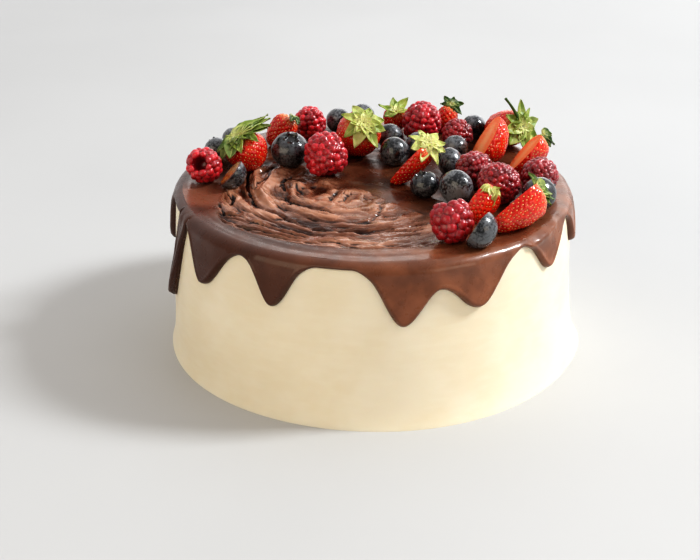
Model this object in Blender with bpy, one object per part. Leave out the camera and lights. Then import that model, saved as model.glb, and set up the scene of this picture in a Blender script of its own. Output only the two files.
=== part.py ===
"""A round cake: smooth cream frosting, poured chocolate ganache with drips, and a crescent of mixed berries.

Lengths are in millimetres until finish_piece() turns a mesh into metres. The origin is the middle of the
base, +Z is up and -Y is the front. A bearing is measured from the front round to the right (+X), in degrees.
"""

import math
import random

import bmesh
import bpy
from mathutils import Matrix, Vector

MM = 0.001
GAP = 0.35

# The cake, under its ganache
FROSTING_TOP = 77.4
SIDE_RADIUS_AT_BASE = 100.3
SIDE_TAPER = 0.05
SIDE_LEAN = 1.0
LEANS_BELOW = 30.0
SIDE_HEIGHTS = (0.0, 4.0, 10.0, 20.0, LEANS_BELOW, 74.6)
SIDE_SEGMENTS = 72

# Hand-smoothed waves round the side: how many go round, how high they are, and where they start
SIDE_WAVES = ((2, 0.35, 0.7), (3, 0.25, 2.1), (5, 0.2, 0.0))

# The frosting spreads a little where it meets what it stands on, most of all at the right
FOOT_FLARE = 2.0
FOOT_HEIGHT = 6.0
SPILL_BEARING = 88.0
SPILL_REACH = 2.2
SPILL_SPREAD = 16.0

# The ganache
TOP_HEIGHT = 79.8
RIM_HEIGHT = 78.4
RIM_START = 88.0
RIM_ROUNDING = ((5.5, 0.05), (2.6, 0.35), (0.9, 0.85))
LIP_THICKNESS = 1.2
CURTAIN_REACH = 1.2
GANACHE_SEGMENTS = 120

# The spatula swirl in the open middle of the ganache, between two bearings
FURROW_STEP = 6.2
FIRST_FURROW = 14.0
FURROWS = 10
FURROW_DEPTH = 1.5
SWIRL_FROM = -112.0
SWIRL_TO = 52.0
SWIRL_FADE = 22.0
SWIRL_INNER = 8.0
SWIRL_OUTER = 80.0
SWIRL_OUTER_FADE = 6.0
SWIRL_DRIFT = 4.0

# Drips: bearing of the tip, depth below the rim, and reach to the left and to the right. Each has a broad
# part that flares from the curtain, and a narrower tongue in its middle.
DRIPS = (
    (-93.0, 29.0, 7.5, 9.0),
    (-79.0, 49.0, 11.0, 14.5),
    (-54.1, 25.1, 13.3, 19.4),
    (-28.3, 23.0, 11.7, 12.8),
    (7.0, 27.7, 13.6, 15.5),
    (28.1, 23.2, 20.0, 16.9),
    (56.1, 18.0, 13.5, 14.5),
    (78.3, 19.0, 9.0, 8.5),
    (93.0, 22.0, 8.5, 10.0),
    (110.0, 31.0, 11.0, 15.0),
    (133.0, 19.0, 14.0, 11.0),
    (154.0, 25.0, 11.0, 16.0),
    (178.0, 15.0, 10.0, 12.0),
    (201.0, 34.0, 15.0, 12.0),
    (223.0, 21.0, 11.0, 13.0),
    (243.0, 24.0, 12.0, 11.0),
)
FLARE_SHARE = 0.6
TONGUE_WIDTH = 0.65
DRIP_BULGE = 2.3
FULL_BULGE_DEPTH = 45.0
THICKEST_AT = 0.8
TIP_ROUNDS_FROM = 0.75
TIP_ROUNDING = 0.92

# Raspberries: place, width, length, where the open end points, and whether its hollow shows
RASPBERRIES = {
    "raspberry_1": ((-83, 4), 18.0, 18.5, (-0.25, -0.85, 0.45), True),
    "raspberry_2": ((-33, 71), 17.0, 17.0, (0.1, 0.2, -1.0), False),
    "raspberry_3": ((-24, 13), 22.0, 22.0, (0.25, -0.5, -0.85), False),
    "raspberry_4": ((26, 66), 21.0, 21.0, (-0.1, 0.3, -1.0), False),
    "raspberry_5": ((43.5, 53.5), 16.0, 17.0, (0.4, 0.7, -0.4), False),
    "raspberry_6": ((48.5, -2), 18.5, 19.0, (0.5, 0.8, -0.3), False),
    "raspberry_7": ((58.5, -22.5), 20.0, 20.5, (0.6, 0.5, -0.5), False),
    "raspberry_8": ((79.5, -10), 18.5, 19.5, (0.3, 0.9, -0.3), False),
    "raspberry_9": ((34, -69), 20.5, 20.0, (-0.2, 0.35, 0.9), True),
}
DRUPELET_COLUMNS = 16
DRUPELET_SWELL = 1.03
DRUPELET_DIP = 0.94

# Whole blueberries: place, width, height as a share of the width, and where the crown points
BLUEBERRIES = {
    "blueberry_1": ((-79.5, 34), 13.0, 0.88, (-0.3, 0.6, 0.6)),
    "blueberry_2": ((-71, 46), 14.0, 0.80, (0.5, 0.7, 0.2)),
    "blueberry_3": ((-42, 27.5), 19.5, 0.86, (0.2, -0.15, 0.95)),
    "blueberry_4": ((-18, 79), 13.5, 0.90, (0.1, 0.9, 0.3)),
    "blueberry_5": ((11, 29), 15.0, 0.98, (0.7, 0.5, -0.2)),
    "blueberry_6": ((9, 53), 14.0, 0.85, (0.2, 0.9, 0.2)),
    "blueberry_7": ((23, 42), 13.5, 0.85, (-0.5, 0.8, 0.2)),
    "blueberry_8": ((42, 37), 13.5, 0.90, (0.5, 0.6, 0.5)),
    "blueberry_9": ((38, 15), 14.5, 0.85, (0.9, 0.2, 0.1)),
    "blueberry_10": ((24, -14), 14.5, 0.85, (-0.35, -0.2, 0.85)),
    "blueberry_11": ((39, -24), 17.5, 0.80, (0.6, 0.7, 0.1)),
    "blueberry_12": ((53.5, 70), 13.0, 0.90, (0.2, 0.9, 0.3)),
    "blueberry_13": ((77.5, -31), 16.5, 0.95, (0.6, 0.5, 0.4)),
    "blueberry_14": ((-5, 88), 13.0, 0.90, (0.0, 0.9, 0.3)),
}
BLUEBERRY_SEGMENTS = 10
CROWN_LOBE = 1.06
CROWN_NOTCH = 0.90

# Halved blueberries: place, width, and where the cut face looks
BLUEBERRY_HALVES = {
    "blueberry_half_1": ((-70, -4), 15.5, (-0.70, 0.0, 0.65)),
    "blueberry_half_2": ((45, -75.5), 18.0, (-0.8, 0.4, 0.45)),
}

# Strawberries: place, width, length, where the leafy end points, where the cut looks, and the cut
STRAWBERRIES = {
    "strawberry_1": ((-62.5, 21.5), 21.0, 18.0, (-0.52, 0.0, 0.85), (0, 0, 1), "whole"),
    "strawberry_2": ((-48, 56), 14.5, 19.0, (0.5, 0.1, 0.75), (-0.2, 0.95, 0.1), "half"),
    "strawberry_3": ((-8, 41), 23.0, 24.0, (0.2, -0.6, 0.7), (0, 0, 1), "whole"),
    "strawberry_4": ((12, 79), 13.0, 15.0, (0.1, -0.4, 0.8), (0.2, 1.0, 0.2), "half"),
    "strawberry_5": ((17, 2), 15.0, 27.0, (0.65, -0.03, 0.75), (-0.3, 0.9, 0.3), "wedge"),
    "strawberry_6": ((57.5, 32), 23.0, 25.0, (-0.5, -0.35, -0.8), (-0.9, -0.1, 0.4), "half"),
    "strawberry_7": ((68.5, 60), 19.0, 25.0, (0.6, -0.72, 0.33), (0, 0, 1), "whole"),
    "strawberry_8": ((75, 18), 19.0, 25.0, (0.6, 0.4, 0.6), (-0.85, -0.05, 0.45), "half"),
    "strawberry_9": ((62, -55), 23.0, 30.0, (0.72, 0.55, 0.35), (-0.6, 0.5, 0.6), "half"),
    "strawberry_10": ((47.5, -42), 17.0, 23.0, (0.6, 0.6, 0.45), (-0.3, 1.0, -0.3), "wedge"),
    "strawberry_11": ((38.5, 79), 12.0, 16.0, (0.4, 0.2, 0.8), (-0.3, 1.0, 0.2), "half"),
}
STRAWBERRY_SEGMENTS = 12
STRAWBERRY_RINGS = 9
BLUNT_SHOULDER = 0.8
BLUNTER = {"strawberry_9": 0.62}
FULL_FLESH = 0.9
HALF_CUT = 0.6
WEDGE_CUT = 0.5
WEDGE_SLANTS = (0.55, -0.85)

# Leaves on a strawberry, by its number: the reach of each leaf in turn, and how far the tips lift
HUB = 2.4
LEAVES = {
    1: ((9, 15, 10, 9, 12, 14, 9), 1.5),
    2: ((HUB, HUB, HUB, 9, HUB), 1.0),
    3: ((12, 11, 13, 12, 11, 13, 10), 0.0),
    4: ((6, 10, 10, 9, 6), 5.0),
    5: ((12, 13, 11, 10, 13, 12, 10), 1.0),
    7: ((14, 13, 15, 12, 14, 13, 12), 3.0),
    8: ((HUB, HUB, HUB, 10, 7), 1.5),
    9: ((HUB, HUB, 9, 11, 13, 12, HUB), 4.0),
    10: ((HUB, HUB, HUB, 8, 6), 0.5),
    11: ((HUB, HUB, 9, 10, HUB), 4.0),
}
# Where a cap of leaves faces that has turned away from its berry's end
CAPS_FACE = {"leaves_1": (-0.42, -0.12, 0.90)}
LEAF_HALF_WIDTH = 0.18
LEAF_THICKNESS = 0.55
LEAF_CLEARANCE = 1.3
LEAF_FOLD = 0.9
LEAF_WAVE = 0.3
LEAF_DROOP = 0.5
SHOULDER_REACH = 0.40

# The one strawberry with its stem on
STEMMED_STRAWBERRY = 7
STEM_LENGTH = 19.0
STEM_TOWARDS = (-0.45, -0.2, 0.85)
STEM_RADII = (1.0, 0.6)
STEM_CLEARANCE = 0.6


def clear_scene():
    for thing in list(bpy.data.objects):
        bpy.data.objects.remove(thing, do_unlink=True)


def principled(name, colour, roughness):
    material = bpy.data.materials.new(name)
    material.use_nodes = True
    shader = material.node_tree.nodes["Principled BSDF"]
    shader.inputs["Base Color"].default_value = (*colour, 1.0)
    shader.inputs["Roughness"].default_value = roughness
    return material


def turned(profile, segments):
    """A closed body turned from a profile of (radius, height) points that starts and ends on the axis."""
    bm = bmesh.new()
    points = [bm.verts.new((radius, 0.0, height)) for radius, height in profile]
    edges = [bm.edges.new(pair) for pair in zip(points, points[1:])]
    bmesh.ops.spin(
        bm, geom=points + edges, cent=(0, 0, 0), axis=(0, 0, 1), angle=math.tau, steps=segments,
        use_merge=True,
    )
    bmesh.ops.remove_doubles(bm, verts=bm.verts, dist=1e-4)
    return bm


def finish_piece(bm, name, material, smooth_angle=40.0):
    """Turns the mesh into an object in metres, closed and facing out, in the cake's collection."""
    bmesh.ops.recalc_face_normals(bm, faces=bm.faces)
    bmesh.ops.transform(bm, matrix=Matrix.Scale(MM, 4), verts=bm.verts)
    mesh = bpy.data.meshes.new(name)
    bm.to_mesh(mesh)
    bm.free()
    mesh.shade_smooth()
    mesh.set_sharp_from_angle(angle=math.radians(smooth_angle))
    mesh.materials.append(material)
    piece = bpy.data.objects.new(name, mesh)
    cake_pieces.objects.link(piece)
    return piece


def clamp(share):
    return max(0.0, min(1.0, share))


def bearing_of(point):
    return math.degrees(math.atan2(point.x, -point.y))


def at_bearing(bearing, radius, height):
    angle = math.radians(bearing)
    return Vector((radius * math.sin(angle), -radius * math.cos(angle), height))


def turn_between(a, b):
    """The signed angle from bearing a to bearing b, within half a turn."""
    return (b - a + 180.0) % 360.0 - 180.0


def side_radius(bearing, height):
    """The frosted side: a slight taper and lean, hand-smoothed waves, and a foot that spreads."""
    angle = math.radians(bearing)
    waves = sum(size * math.sin(count * angle + start) for count, size, start in SIDE_WAVES)
    spill = SPILL_REACH * math.exp(-((turn_between(SPILL_BEARING, bearing) / SPILL_SPREAD) ** 2))
    foot = (FOOT_FLARE + spill) * math.exp(-height / FOOT_HEIGHT)
    lean = SIDE_LEAN * math.sin(angle) * min(height / LEANS_BELOW, 1.0)
    return SIDE_RADIUS_AT_BASE - SIDE_TAPER * height + waves - lean + foot


def make_frosted_cake(material):
    """The cake itself, solid, with a flat base, a smoothed side and a softly rounded top edge."""
    side = [(SIDE_RADIUS_AT_BASE, height) for height in SIDE_HEIGHTS]
    edge = [(SIDE_RADIUS_AT_BASE - 1.0, FROSTING_TOP - 0.7), (SIDE_RADIUS_AT_BASE - 3.0, FROSTING_TOP)]
    bm = turned([(0, 0)] + side + edge + [(0, FROSTING_TOP)], SIDE_SEGMENTS)
    for vert in bm.verts:
        radius = vert.co.xy.length
        if radius > 1.0:
            inset = SIDE_RADIUS_AT_BASE - radius
            bearing = bearing_of(vert.co)
            vert.co = at_bearing(bearing, side_radius(bearing, vert.co.z) - inset, vert.co.z)
    finish_piece(bm, "frosted_cake", material)


def lobe(share):
    """Falls softly from 1 in the middle to 0 at the edge."""
    return 0.5 * (1 + math.cos(math.pi * min(share, 1.0)))


def drip_reach(bearing):
    """How far the ganache hangs below the rim: a short curtain, with each drip a flare and a tongue."""
    reach = CURTAIN_REACH
    for tip, depth, left, right in DRIPS:
        turn = turn_between(tip, bearing)
        share = abs(turn) / (right if turn > 0 else left)
        tongue = FLARE_SHARE * lobe(share) + (1 - FLARE_SHARE) * lobe(share / TONGUE_WIDTH)
        reach += (depth - CURTAIN_REACH) * tongue
    return reach


def swirl_mask(bearing, radius):
    """1 in the open middle that the spatula swirled, falling to 0 where the surface is smooth."""
    within = min(turn_between(SWIRL_FROM, bearing), -turn_between(SWIRL_TO, bearing))
    inner = clamp((radius - SWIRL_INNER) / SWIRL_INNER)
    outer = clamp((SWIRL_OUTER - radius) / SWIRL_OUTER_FADE)
    return clamp(within / SWIRL_FADE) * inner * outer


def shape_top(vert):
    """Sinks every other ring of the open middle, and lets the furrows drift as they go round."""
    radius = vert.co.xy.length
    if not FIRST_FURROW - 1 < radius < FIRST_FURROW + FURROWS * FURROW_STEP:
        return
    bearing = bearing_of(vert.co)
    furrow = round((radius - FIRST_FURROW) / FURROW_STEP)
    mask = swirl_mask(bearing, radius)
    drift = SWIRL_DRIFT * mask * math.sin(math.radians(1.6 * bearing + 40.0))
    depth = FURROW_DEPTH * mask * (1.0 if furrow % 2 else 0.1)
    depth *= 0.75 + 0.25 * math.sin(math.radians(3.0 * bearing) + furrow)
    vert.co = at_bearing(bearing, radius + drift, vert.co.z - depth)


def shape_drip(vert, inner):
    """Moves a point of the hanging part to its place down the side, thicker towards the tip of a drip."""
    bearing = bearing_of(vert.co)
    reach = drip_reach(bearing)
    share = RIM_HEIGHT - vert.co.z
    height = RIM_HEIGHT - share * reach
    wall = side_radius(bearing, height) + GAP
    if inner:
        vert.co = at_bearing(bearing, wall, min(height, FROSTING_TOP + 0.5 * GAP))
        return
    bulge = DRIP_BULGE * min(1.0, reach / FULL_BULGE_DEPTH)
    thickness = LIP_THICKNESS + bulge * math.sin(0.5 * math.pi * min(1.0, share / THICKEST_AT)) ** 2
    past = max(0.0, share - TIP_ROUNDS_FROM) / (1.0 - TIP_ROUNDS_FROM)
    thickness *= math.sqrt(1.0 - TIP_ROUNDING * past**2)
    vert.co = at_bearing(bearing, wall + thickness, height)


def make_ganache(material):
    """The poured ganache: a thin cap with a rounded rim, and drips that hang down the frosting."""
    inner = side_radius(0.0, RIM_HEIGHT) + GAP
    outer = inner + LIP_THICKNESS
    ceiling = FROSTING_TOP + GAP
    furrows = [FIRST_FURROW + step * FURROW_STEP for step in range(FURROWS)]
    crown = [(0.0, TOP_HEIGHT)] + [(radius, TOP_HEIGHT) for radius in furrows]
    crown += [(RIM_START - 6.0, TOP_HEIGHT), (RIM_START, TOP_HEIGHT)]
    rim = [(outer - inset, TOP_HEIGHT - drop) for inset, drop in RIM_ROUNDING]
    hanging = [(outer, RIM_HEIGHT - share) for share in (0.0, 0.4, 0.75, 0.93, 1.0)]
    back = [(inner, RIM_HEIGHT - share) for share in (0.99, 0.5)]
    bm = turned(crown + rim + hanging + back + [(inner - 0.1, ceiling), (0.0, ceiling)], GANACHE_SEGMENTS)
    for vert in bm.verts:
        radius = vert.co.xy.length
        if vert.co.z > TOP_HEIGHT - 0.01:
            shape_top(vert)
        elif radius > inner - 0.01 and vert.co.z < RIM_HEIGHT + 0.01:
            shape_drip(vert, radius < outer - 0.01)
        elif radius > RIM_START:
            bearing = bearing_of(vert.co)
            shift = side_radius(bearing, RIM_HEIGHT) + GAP - inner
            vert.co = at_bearing(bearing, radius + shift, vert.co.z)
    finish_piece(bm, "ganache", material, 60.0)


def facing(axis, face):
    """A turn that takes +Z to the axis, and +Y as near to the face as it can."""
    up = Vector(axis).normalized()
    forward = Vector(face) - up * up.dot(Vector(face))
    if forward.length < 1e-3:
        forward = up.orthogonal()
    forward.normalize()
    return Matrix((forward.cross(up), forward, up)).transposed().to_4x4()


def press_flat(bm):
    """Keeps everything just above the ganache, as a soft berry flattens where it rests."""
    for vert in bm.verts:
        vert.co.z = max(vert.co.z, TOP_HEIGHT + GAP)


def set_down(bm, place, turn, press):
    """Turns a berry, sets it on the ganache, and presses the side it rests on flat."""
    bmesh.ops.transform(bm, matrix=turn, verts=bm.verts)
    lift = TOP_HEIGHT + GAP - press - min(vert.co.z for vert in bm.verts)
    move = Matrix.Translation((*place, lift))
    bmesh.ops.transform(bm, matrix=move, verts=bm.verts)
    press_flat(bm)
    return move @ turn


def make_raspberry(name, place, width, length, open_end, hollow, material, seed):
    """A cone of rounded drupelets in staggered rows, hollow where its open end shows."""
    mouth = [(0.0, -0.05), (0.30, 0.0), (0.40, 0.80)] if hollow else [(0.0, 0.84), (0.35, 0.88)]
    wall = [(0.66, 0.97), (0.93, 0.62), (1.0, 0.22), (0.97, -0.20), (0.84, -0.58), (0.56, -0.86)]
    profile = [(radius * width / 2, height * length / 2) for radius, height in mouth + wall + [(0.0, -1.0)]]
    rows = [height for _, height in profile[len(mouth):]]
    bm = turned(profile, DRUPELET_COLUMNS)
    draw = random.Random(seed)
    for vert in bm.verts:
        row = min(range(len(rows)), key=lambda index: abs(rows[index] - vert.co.z))
        if vert.co.xy.length < 0.45 * width / 2 or abs(rows[row] - vert.co.z) > 1e-3:
            continue
        column = round(math.atan2(vert.co.y, vert.co.x) / (math.tau / DRUPELET_COLUMNS))
        swell = DRUPELET_DIP if (column + row) % 2 else DRUPELET_SWELL
        vert.co *= swell + draw.uniform(-0.015, 0.015)
    bmesh.ops.recalc_face_normals(bm, faces=bm.faces)
    bmesh.ops.triangulate(bm, faces=bm.faces, quad_method="SHORT_EDGE")
    set_down(bm, place, facing(open_end, (0.3, 0.2, 1.0)), 0.9)
    finish_piece(bm, name, material, 80.0)


def make_blueberry(name, place, width, height_share, crown, material):
    """A slightly flattened ball with the five-lobed crown that its flower left."""
    rim = (0.34, 0.99)
    profile = [(0.0, 0.76), (0.17, 0.78), rim, (0.44, 0.86), (0.76, 0.64), (0.96, 0.27), (0.98, -0.17)]
    profile += [(0.82, -0.58), (0.48, -0.88), (0.0, -1.0)]
    across = width / 2
    upward = across * height_share
    bm = turned([(radius * across, height * upward) for radius, height in profile], BLUEBERRY_SEGMENTS)
    for vert in bm.verts:
        if abs(vert.co.z - rim[1] * upward) < 1e-3:
            step = round(math.atan2(vert.co.y, vert.co.x) / (math.tau / BLUEBERRY_SEGMENTS))
            vert.co *= CROWN_LOBE if step % 2 else CROWN_NOTCH
    set_down(bm, place, facing(crown, (0.2, 0.3, 1.0)), 0.5)
    finish_piece(bm, name, material)


def keep_behind(bm, point, normal):
    """Cuts the closed mesh by a plane, keeps what is behind it and closes the cut."""
    geometry = bm.verts[:] + bm.edges[:] + bm.faces[:]
    cut = bmesh.ops.bisect_plane(
        bm, geom=geometry, dist=1e-4, plane_co=point, plane_no=normal, clear_outer=True,
    )
    edges = [item for item in cut["geom_cut"] if isinstance(item, bmesh.types.BMEdge)]
    bmesh.ops.contextual_create(bm, geom=edges)


def make_blueberry_half(name, place, width, cut_faces, material):
    bm = bmesh.new()
    bmesh.ops.create_uvsphere(bm, u_segments=14, v_segments=8, radius=width / 2)
    keep_behind(bm, (0, 0, 0.3), (0, 0, 1))
    set_down(bm, place, facing(cut_faces, (0.2, 0.3, 1.0)), 0.4)
    finish_piece(bm, name, material)


def strawberry_profile(width, length, blunt, rings=STRAWBERRY_RINGS):
    """(radius, height) points from the leafy shoulder, over the widest part, down to the tip. The lower the
    blunt value, the nearer the widest part is to the leaves."""
    points = [(0.0, 0.5 * length)]
    for ring in range(1, rings):
        share = ring / rings
        radius = 0.5 * width * math.sin(math.pi * share**blunt) ** FULL_FLESH
        points.append((radius, 0.5 * length * math.cos(math.pi * share)))
    return points + [(0.0, -0.5 * length)]


def make_strawberry(name, place, width, length, leafy_end, cut_faces, cut, material):
    """A tapering berry: whole, halved along its length, or a wedge of about a third."""
    bm = turned(strawberry_profile(width, length, BLUNTER.get(name, BLUNT_SHOULDER)), STRAWBERRY_SEGMENTS)
    if cut == "half":
        keep_behind(bm, (0, HALF_CUT, 0), (0, 1, 0))
    if cut == "wedge":
        for slant in WEDGE_SLANTS:
            keep_behind(bm, (0, WEDGE_CUT, 0), (slant, 1, 0))
    placed = set_down(bm, place, facing(leafy_end, cut_faces), 0.7)
    finish_piece(bm, name, material)
    return placed


def shoulder_height(radius, width, length, blunt):
    """The height of a strawberry's leafy end at this distance from its axis."""
    points = strawberry_profile(width, length, blunt, 40)
    for (inner, high), (outer, low) in zip(points, points[1:]):
        if inner <= radius <= outer:
            return high + (low - high) * (radius - inner) / (outer - inner)
    return 0.0


def leaf_outline(step, reaches, draw):
    """The (along, across) of one outline point of the star: leaf tip, leaf edge, notch, leaf edge."""
    reach = reaches[(step + 1) // 4 % len(reaches)]
    corner = step % 4
    if corner == 0 and reach > HUB:
        return reach + draw.uniform(-0.6, 0.6), 0.0
    if corner == 2 or reach <= HUB:
        return HUB, 0.0
    return reach * draw.uniform(0.5, 0.6), reach * LEAF_HALF_WIDTH * (1 if corner == 1 else -1)


def flat_star(reaches, draw):
    """The leaves laid flat: one star with a point for each leaf and its middle at the origin."""
    corners = 4 * len(reaches)
    bm = bmesh.new()
    bmesh.ops.create_circle(bm, cap_ends=True, cap_tris=True, radius=HUB, segments=corners)
    spokes = [edge for edge in bm.edges if min(vert.co.length for vert in edge.verts) < HUB / 2]
    for vert in bm.verts:
        if vert.co.length < HUB / 2:
            continue
        step = round(math.atan2(vert.co.y, vert.co.x) / math.tau * corners) % corners
        along, across = leaf_outline(step, reaches, draw)
        spine = math.tau * ((step + 1) // 4 / len(reaches) if across else step / corners)
        vert.co = Matrix.Rotation(spine, 3, "Z") @ Vector((along, across, 0.0))
    bmesh.ops.subdivide_edges(bm, edges=spokes, cuts=1)
    bmesh.ops.triangulate(bm, faces=bm.faces)
    return bm


def make_leaves(name, reaches, lift, berry, placed, material, seed):
    """The green leaves at a strawberry's end: one thin star, folded along each leaf and wavy."""
    _, width, length, _, cut_faces, cut = berry
    blunt = BLUNTER.get(name.replace("leaves", "strawberry"), BLUNT_SHOULDER)
    if name in CAPS_FACE:
        own = facing(CAPS_FACE[name], cut_faces)
        shift = 0.5 * length * (placed.to_3x3().col[2] - own.to_3x3().col[2])
        placed = Matrix.Translation(placed.translation + shift) @ own
    bm = flat_star(reaches, random.Random(seed))
    for vert in bm.verts:
        reach = vert.co.xy.length
        turn = (math.atan2(vert.co.y, vert.co.x) * len(reaches) / math.tau) % 1.0
        fold = LEAF_FOLD * 2 * min(turn, 1 - turn) * min(1.0, reach / 5.0)
        wave = LEAF_WAVE * math.sin(3 * math.tau * turn + seed) * min(1.0, reach / 6.0)
        droop = LEAF_DROOP * max(0.0, reach - 0.45 * width)
        if cut != "whole":
            vert.co.y -= HUB
        ride = shoulder_height(min(SHOULDER_REACH * width, vert.co.xy.length), width, length, blunt)
        vert.co.z = ride + LEAF_CLEARANCE + lift * (reach / 12.0) ** 2 + fold + wave - droop
    bmesh.ops.recalc_face_normals(bm, faces=bm.faces)
    if sum(face.normal.z for face in bm.faces) > 0:
        bmesh.ops.reverse_faces(bm, faces=bm.faces)
    bmesh.ops.solidify(bm, geom=bm.faces[:], thickness=LEAF_THICKNESS)
    bmesh.ops.transform(bm, matrix=placed, verts=bm.verts)
    press_flat(bm)
    return finish_piece(bm, name, material, 60.0)


def add_stem(leaves, placed, length):
    """A short cut stem that stands in the middle of the leaves, made one with them."""
    foot = placed @ Vector((0.0, 0.0, 0.5 * length + LEAF_CLEARANCE + STEM_CLEARANCE))
    direction = Vector(STEM_TOWARDS).normalized()
    bm = bmesh.new()
    bmesh.ops.create_cone(
        bm, cap_ends=True, segments=6, radius1=STEM_RADII[0], radius2=STEM_RADII[1], depth=STEM_LENGTH,
        matrix=Matrix.Translation(foot + direction * STEM_LENGTH / 2) @ facing(direction, (1, 0, 0)),
    )
    stem = finish_piece(bm, "stem_to_join", leaves.data.materials[0])
    union = leaves.modifiers.new("stem", "BOOLEAN")
    union.operation = "UNION"
    union.object = stem
    union.use_self = True
    joined = bpy.data.meshes.new_from_object(leaves.evaluated_get(bpy.context.evaluated_depsgraph_get()))
    leaves.modifiers.remove(union)
    leaves.data = joined
    bpy.data.objects.remove(stem)


clear_scene()
cake_pieces = bpy.data.collections.new("berry_drip_cake")
bpy.context.scene.collection.children.link(cake_pieces)

frosting = principled("frosting", (0.87, 0.80, 0.68), 0.5)
chocolate = principled("chocolate ganache", (0.16, 0.07, 0.045), 0.3)
raspberry_red = principled("raspberry", (0.50, 0.03, 0.05), 0.35)
blueberry_blue = principled("blueberry", (0.07, 0.08, 0.13), 0.45)
strawberry_red = principled("strawberry", (0.72, 0.06, 0.03), 0.25)
leaf_green = principled("strawberry leaf", (0.28, 0.42, 0.10), 0.5)

make_frosted_cake(frosting)
make_ganache(chocolate)
for number, (name, berry) in enumerate(RASPBERRIES.items()):
    make_raspberry(name, *berry, raspberry_red, number)
for name, berry in BLUEBERRIES.items():
    make_blueberry(name, *berry, blueberry_blue)
for name, berry in BLUEBERRY_HALVES.items():
    make_blueberry_half(name, *berry, blueberry_blue)
for name, berry in STRAWBERRIES.items():
    placed = make_strawberry(name, *berry, strawberry_red)
    number = int(name.split("_")[1])
    if number in LEAVES:
        leaves = make_leaves(f"leaves_{number}", *LEAVES[number], berry, placed, leaf_green, number)
    if number == STEMMED_STRAWBERRY:
        add_stem(leaves, placed, berry[2])
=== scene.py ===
import math
import random

import bpy
import numpy as np
from mathutils import Matrix, Vector, kdtree, noise


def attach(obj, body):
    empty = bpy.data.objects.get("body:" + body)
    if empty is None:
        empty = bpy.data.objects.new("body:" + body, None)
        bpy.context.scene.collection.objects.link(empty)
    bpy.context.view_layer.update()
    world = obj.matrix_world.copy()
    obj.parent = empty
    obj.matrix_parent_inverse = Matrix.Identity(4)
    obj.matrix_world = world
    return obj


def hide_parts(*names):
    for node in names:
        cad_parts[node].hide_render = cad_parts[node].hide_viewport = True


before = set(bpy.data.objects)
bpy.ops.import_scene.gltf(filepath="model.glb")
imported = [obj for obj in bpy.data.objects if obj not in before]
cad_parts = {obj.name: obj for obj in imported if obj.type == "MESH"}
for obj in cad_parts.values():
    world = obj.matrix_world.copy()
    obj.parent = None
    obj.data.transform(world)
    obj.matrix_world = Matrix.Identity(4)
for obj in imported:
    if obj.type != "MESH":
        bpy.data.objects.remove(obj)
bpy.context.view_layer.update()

# Points are worked out in millimetres and become metres in a mesh. +Z is up and -Y is the front. A bearing
# is measured in degrees from the front round to the right (+X).

# ---------------------------------------------------------------------------------------------------------
# Cream frosting. The cake is a solid round of layers under a coat of pale buttercream. A scraper held upright
# against it on a turntable smoothed the side and left faint bands, and the coat spreads a little at its foot.

MM = 0.001
FROSTING_TOP = 77.4
SIDE_RADIUS_AT_BASE = 100.3
SIDE_TAPER = 0.05
SIDE_LEAN = 1.0
LEANS_BELOW = 30.0
SIDE_WAVES = ((2, 0.35, 0.7), (3, 0.25, 2.1), (5, 0.2, 0.0))
FOOT_FLARE = 2.0
FOOT_HEIGHT = 6.0
SPILL_BEARING = 88.0
SPILL_REACH = 2.2
SPILL_SPREAD = 16.0
COAT_INSET = 0.15
COAT_COLUMNS = 360
COAT_FOOT_HEIGHTS = (0.5, 1.2, 2.2, 3.5, 5.0, 6.6, 8.4, 10.4)
COAT_ROW = 1.7
COAT_WALL_TOP = 75.6
COAT_EDGE = ((76.3, 0.03), (76.7, 0.15), (77.05, 0.4), (77.3, 0.85), (77.4, 1.5))
MM_PER_DEGREE = 1.7
BAND_DEPTH = 0.06
BAND_LENGTH = 34.0
BAND_FLATNESS = 3.0
WAVE_DEPTH = 0.10
WAVE_SIZE = 30.0
SEAM_FADE = 12.0
CALM_FOOT = 8.0


def add(name, primitive, **sizes):
    """Adds a primitive under the piece's name, with nothing else selected."""
    bpy.ops.object.select_all(action="DESELECT")
    primitive(**sizes)
    piece = bpy.context.active_object
    piece.name = piece.data.name = name
    return piece


def pick(*pieces):
    """Selects these pieces alone, the last of them active."""
    bpy.ops.object.select_all(action="DESELECT")
    for piece in pieces:
        piece.select_set(True)
    bpy.context.view_layer.objects.active = pieces[-1]


def edit(piece):
    pick(piece)
    bpy.ops.object.mode_set(mode="EDIT")
    bpy.ops.mesh.select_all(action="SELECT")


def done_editing():
    bpy.ops.object.mode_set(mode="OBJECT")


def pull_up(height):
    """Extrudes what is selected straight up, by millimetres."""
    bpy.ops.mesh.extrude_region_move(TRANSFORM_OT_translate={"value": (0, 0, height * MM)})


def face_outwards(piece):
    edit(piece)
    bpy.ops.mesh.normals_make_consistent(inside=False)
    done_editing()


def points_of(piece):
    """The piece's points, as rows of x, y and z in millimetres."""
    flat = np.empty(3 * len(piece.data.vertices), np.float32)
    piece.data.vertices.foreach_get("co", flat)
    return flat.reshape(-1, 3).astype(float) / MM


def move_points(piece, points):
    piece.data.vertices.foreach_set("co", (points * MM).astype(np.float32).ravel())
    piece.data.update()


def mark(piece, **marks):
    """Gives each point of the piece numbers that its material can read."""
    for name, values in marks.items():
        attribute = piece.data.attributes.get(name) or piece.data.attributes.new(name, "FLOAT", "POINT")
        attribute.data.foreach_set("value", np.full(len(piece.data.vertices), values, np.float32))


def unevenness(points, size, seed, octaves=3):
    """Soft noise, about -1 to 1, whose lumps are as many millimetres across as the size says."""
    start = Vector((seed * 17.3, seed * 5.1, seed * 9.7))
    return np.array([noise.fractal(Vector(point) / size + start, 1.0, 2.0, octaves) for point in points])


def smooth_step(value):
    value = np.clip(value, 0.0, 1.0)
    return value * value * (3.0 - 2.0 * value)


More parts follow.
